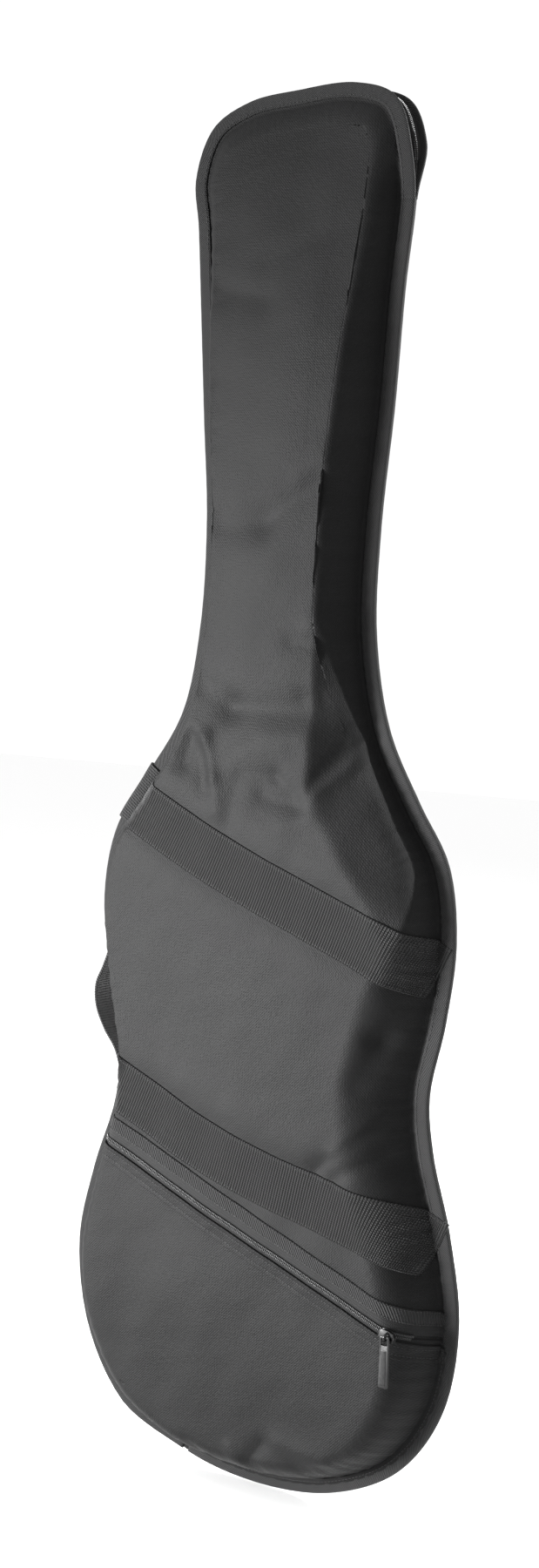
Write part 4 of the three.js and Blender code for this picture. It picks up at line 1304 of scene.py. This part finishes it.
# ---------------------------------------------------------------- folded ends and carry handle
def folded_webbing(name, start, end, facing, reach, node, body):
    """Webbing folded over an edge binding, ribs across its length."""
    places = np.linspace(start, end, int((end - start) * 55))
    centre = facing * flange_half(places)
    half = ZIP_BINDING_HALF + 0.25
    sides = [(reach, 1.0), (6, 1.0), (2.0, 1.0), (0.2, 0.85), (-0.5, 0.4), (-0.6, 0), (-0.5, -0.4),
             (0.2, -0.85), (2.0, -1.0)]
    rows = []
    ribs = 0.16 * np.sin(places * 150)
    for extra, order in ((1.3, sides), (0.0, sides[::-1])):
        for inset, share in order:
            push = extra * max(0.0, 1 - inset / 2) if inset < 2 else 0.0
            rows.append(np.stack([
                np.full(len(places), inset) - push,
                centre + facing * share * (half + extra * abs(share) + (ribs if extra else 0)),
            ], axis=1))
    obj = sweep(name, places, lambda _: np.stack(rows, axis=1), WEBBING)
    return opens(obj, "webbing", node) if body is None else stays(obj, "webbing", body, node)


folded_webbing("upper_band_folded_end", 30.82, 31.78, -1, 13.0, "upper_band_folded_end", None)
folded_webbing("handle_anchor_upper", 32.35, 33.05, 1, 10.5, "handle_anchor_upper", "root")
folded_webbing("handle_anchor_lower", 35.15, 35.95, 1, 10.5, "handle_anchor_lower", "root")


def carry_handle():
    """A loop of doubled webbing, ribbed on both faces, that droops between its anchors."""
    path, _ = spline(HANDLE_PATH, 400)
    path = even_steps(path, WEBBING_STEP)
    tangent = unit(np.gradient(path, axis=0))
    outwards = np.stack([-tangent[:, 1], np.zeros(len(path)), tangent[:, 0]], axis=1)
    run = np.arange(len(path)) * WEBBING_STEP
    width = np.linspace(*HANDLE_Y, 34)
    uvs = np.stack(np.broadcast_arrays(run[:, None], width[None, :]), axis=-1) * MM
    middle = np.stack(np.broadcast_arrays(path[:, None, 0], width[None, :], path[:, None, 1]), axis=-1)
    cup = 0.8 * ((width - 17) / 15) ** 2
    middle = middle - outwards[:, None] * cup[None, :, None]
    relief = woven_relief(uvs)
    half = HANDLE_THICK / 2 - 0.15
    return ribbon("carry_handle", middle, np.broadcast_to(outwards[:, None], middle.shape),
                  -half - relief, 2 * half + 2 * relief, uvs, WEBBING, 0.5)


stays(carry_handle(), "webbing", "handle", "carry_handle")


# ---------------------------------------------------------------- floor, light and camera
def floor():
    mesh = bpy.data.meshes.new("floor")
    reach = 6.0
    mesh.from_pydata([(-reach, -reach, 0), (reach, -reach, 0), (reach, reach, 0), (-reach, reach, 0)], [],
                     [(0, 1, 2, 3)])
    paint = Paint("pale_floor", (0.93, 0.93, 0.93), 0.9, Specular_IOR_Level=0.1)
    mesh.materials.append(paint.material)
    obj = bpy.data.objects.new("floor", mesh)
    obj.location.z = -0.0008
    bpy.context.scene.collection.objects.link(obj)


def area_light(name, spot, target, size, power, spread=180):
    data = bpy.data.lights.new(name, "AREA")
    data.shape, data.size, data.energy = "DISK", size, power
    data.spread = math.radians(spread)
    obj = bpy.data.objects.new(name, data)
    obj.location = spot
    obj.rotation_mode = "QUATERNION"
    obj.rotation_quaternion = (Vector(target) - Vector(spot)).to_track_quat("-Z", "Y")
    bpy.context.scene.collection.objects.link(obj)


def studio():
    """An even white room, a soft key at the left and a soft light on the back."""
    world = bpy.data.worlds.new("studio")
    world.use_nodes = True
    world.node_tree.nodes["Background"].inputs[0].default_value = (1, 1, 1, 1)
    world.node_tree.nodes["Background"].inputs[1].default_value = 1.05
    bpy.context.scene.world = world
    area_light("key", (-1.45, -1.85, 0.45), (0, 0, 0.43), 0.8, 26, 41)
    area_light("back", (0.9, 1.8, 1.6), (0, 0, 0.5), 1.0, 90)
    bpy.context.scene.view_settings.view_transform = "Standard"


CAMERA_AZIMUTH = 34             # degrees round to the bag's right from straight in front
CAMERA_DISTANCE = 1.743         # metres, level, from the bag's middle line
CAMERA_ASIDE = -0.002
CAMERA_HEIGHT = 0.691
CAMERA_PITCH = -4.58
CAMERA_ROLL = 2.08
CAMERA_LENS = 52.5


def camera():
    """At the bag's right-hand front, a little above its middle, looking slightly down."""
    data = bpy.data.cameras.new("camera")
    data.sensor_width, data.lens = 36, CAMERA_LENS
    turn, pitch, roll = (math.radians(a) for a in (CAMERA_AZIMUTH, CAMERA_PITCH, CAMERA_ROLL))
    back = Vector((math.sin(turn), -math.cos(turn), 0))
    level = Vector((math.cos(turn), math.sin(turn), 0))
    obj = bpy.data.objects.new("camera", data)
    spot = back * CAMERA_DISTANCE + level * CAMERA_ASIDE + Vector((0, 0, CAMERA_HEIGHT))
    upright = back * math.sin(pitch) + Vector((0, 0, math.cos(pitch)))
    right = level * math.cos(roll) + upright * math.sin(roll)
    up = upright * math.cos(roll) - level * math.sin(roll)
    axes = Matrix((right, up, right.cross(up))).transposed().to_4x4()
    obj.matrix_world = Matrix.Translation(spot) @ axes
    bpy.context.scene.collection.objects.link(obj)
    bpy.context.scene.camera = obj


floor()
studio()
camera()
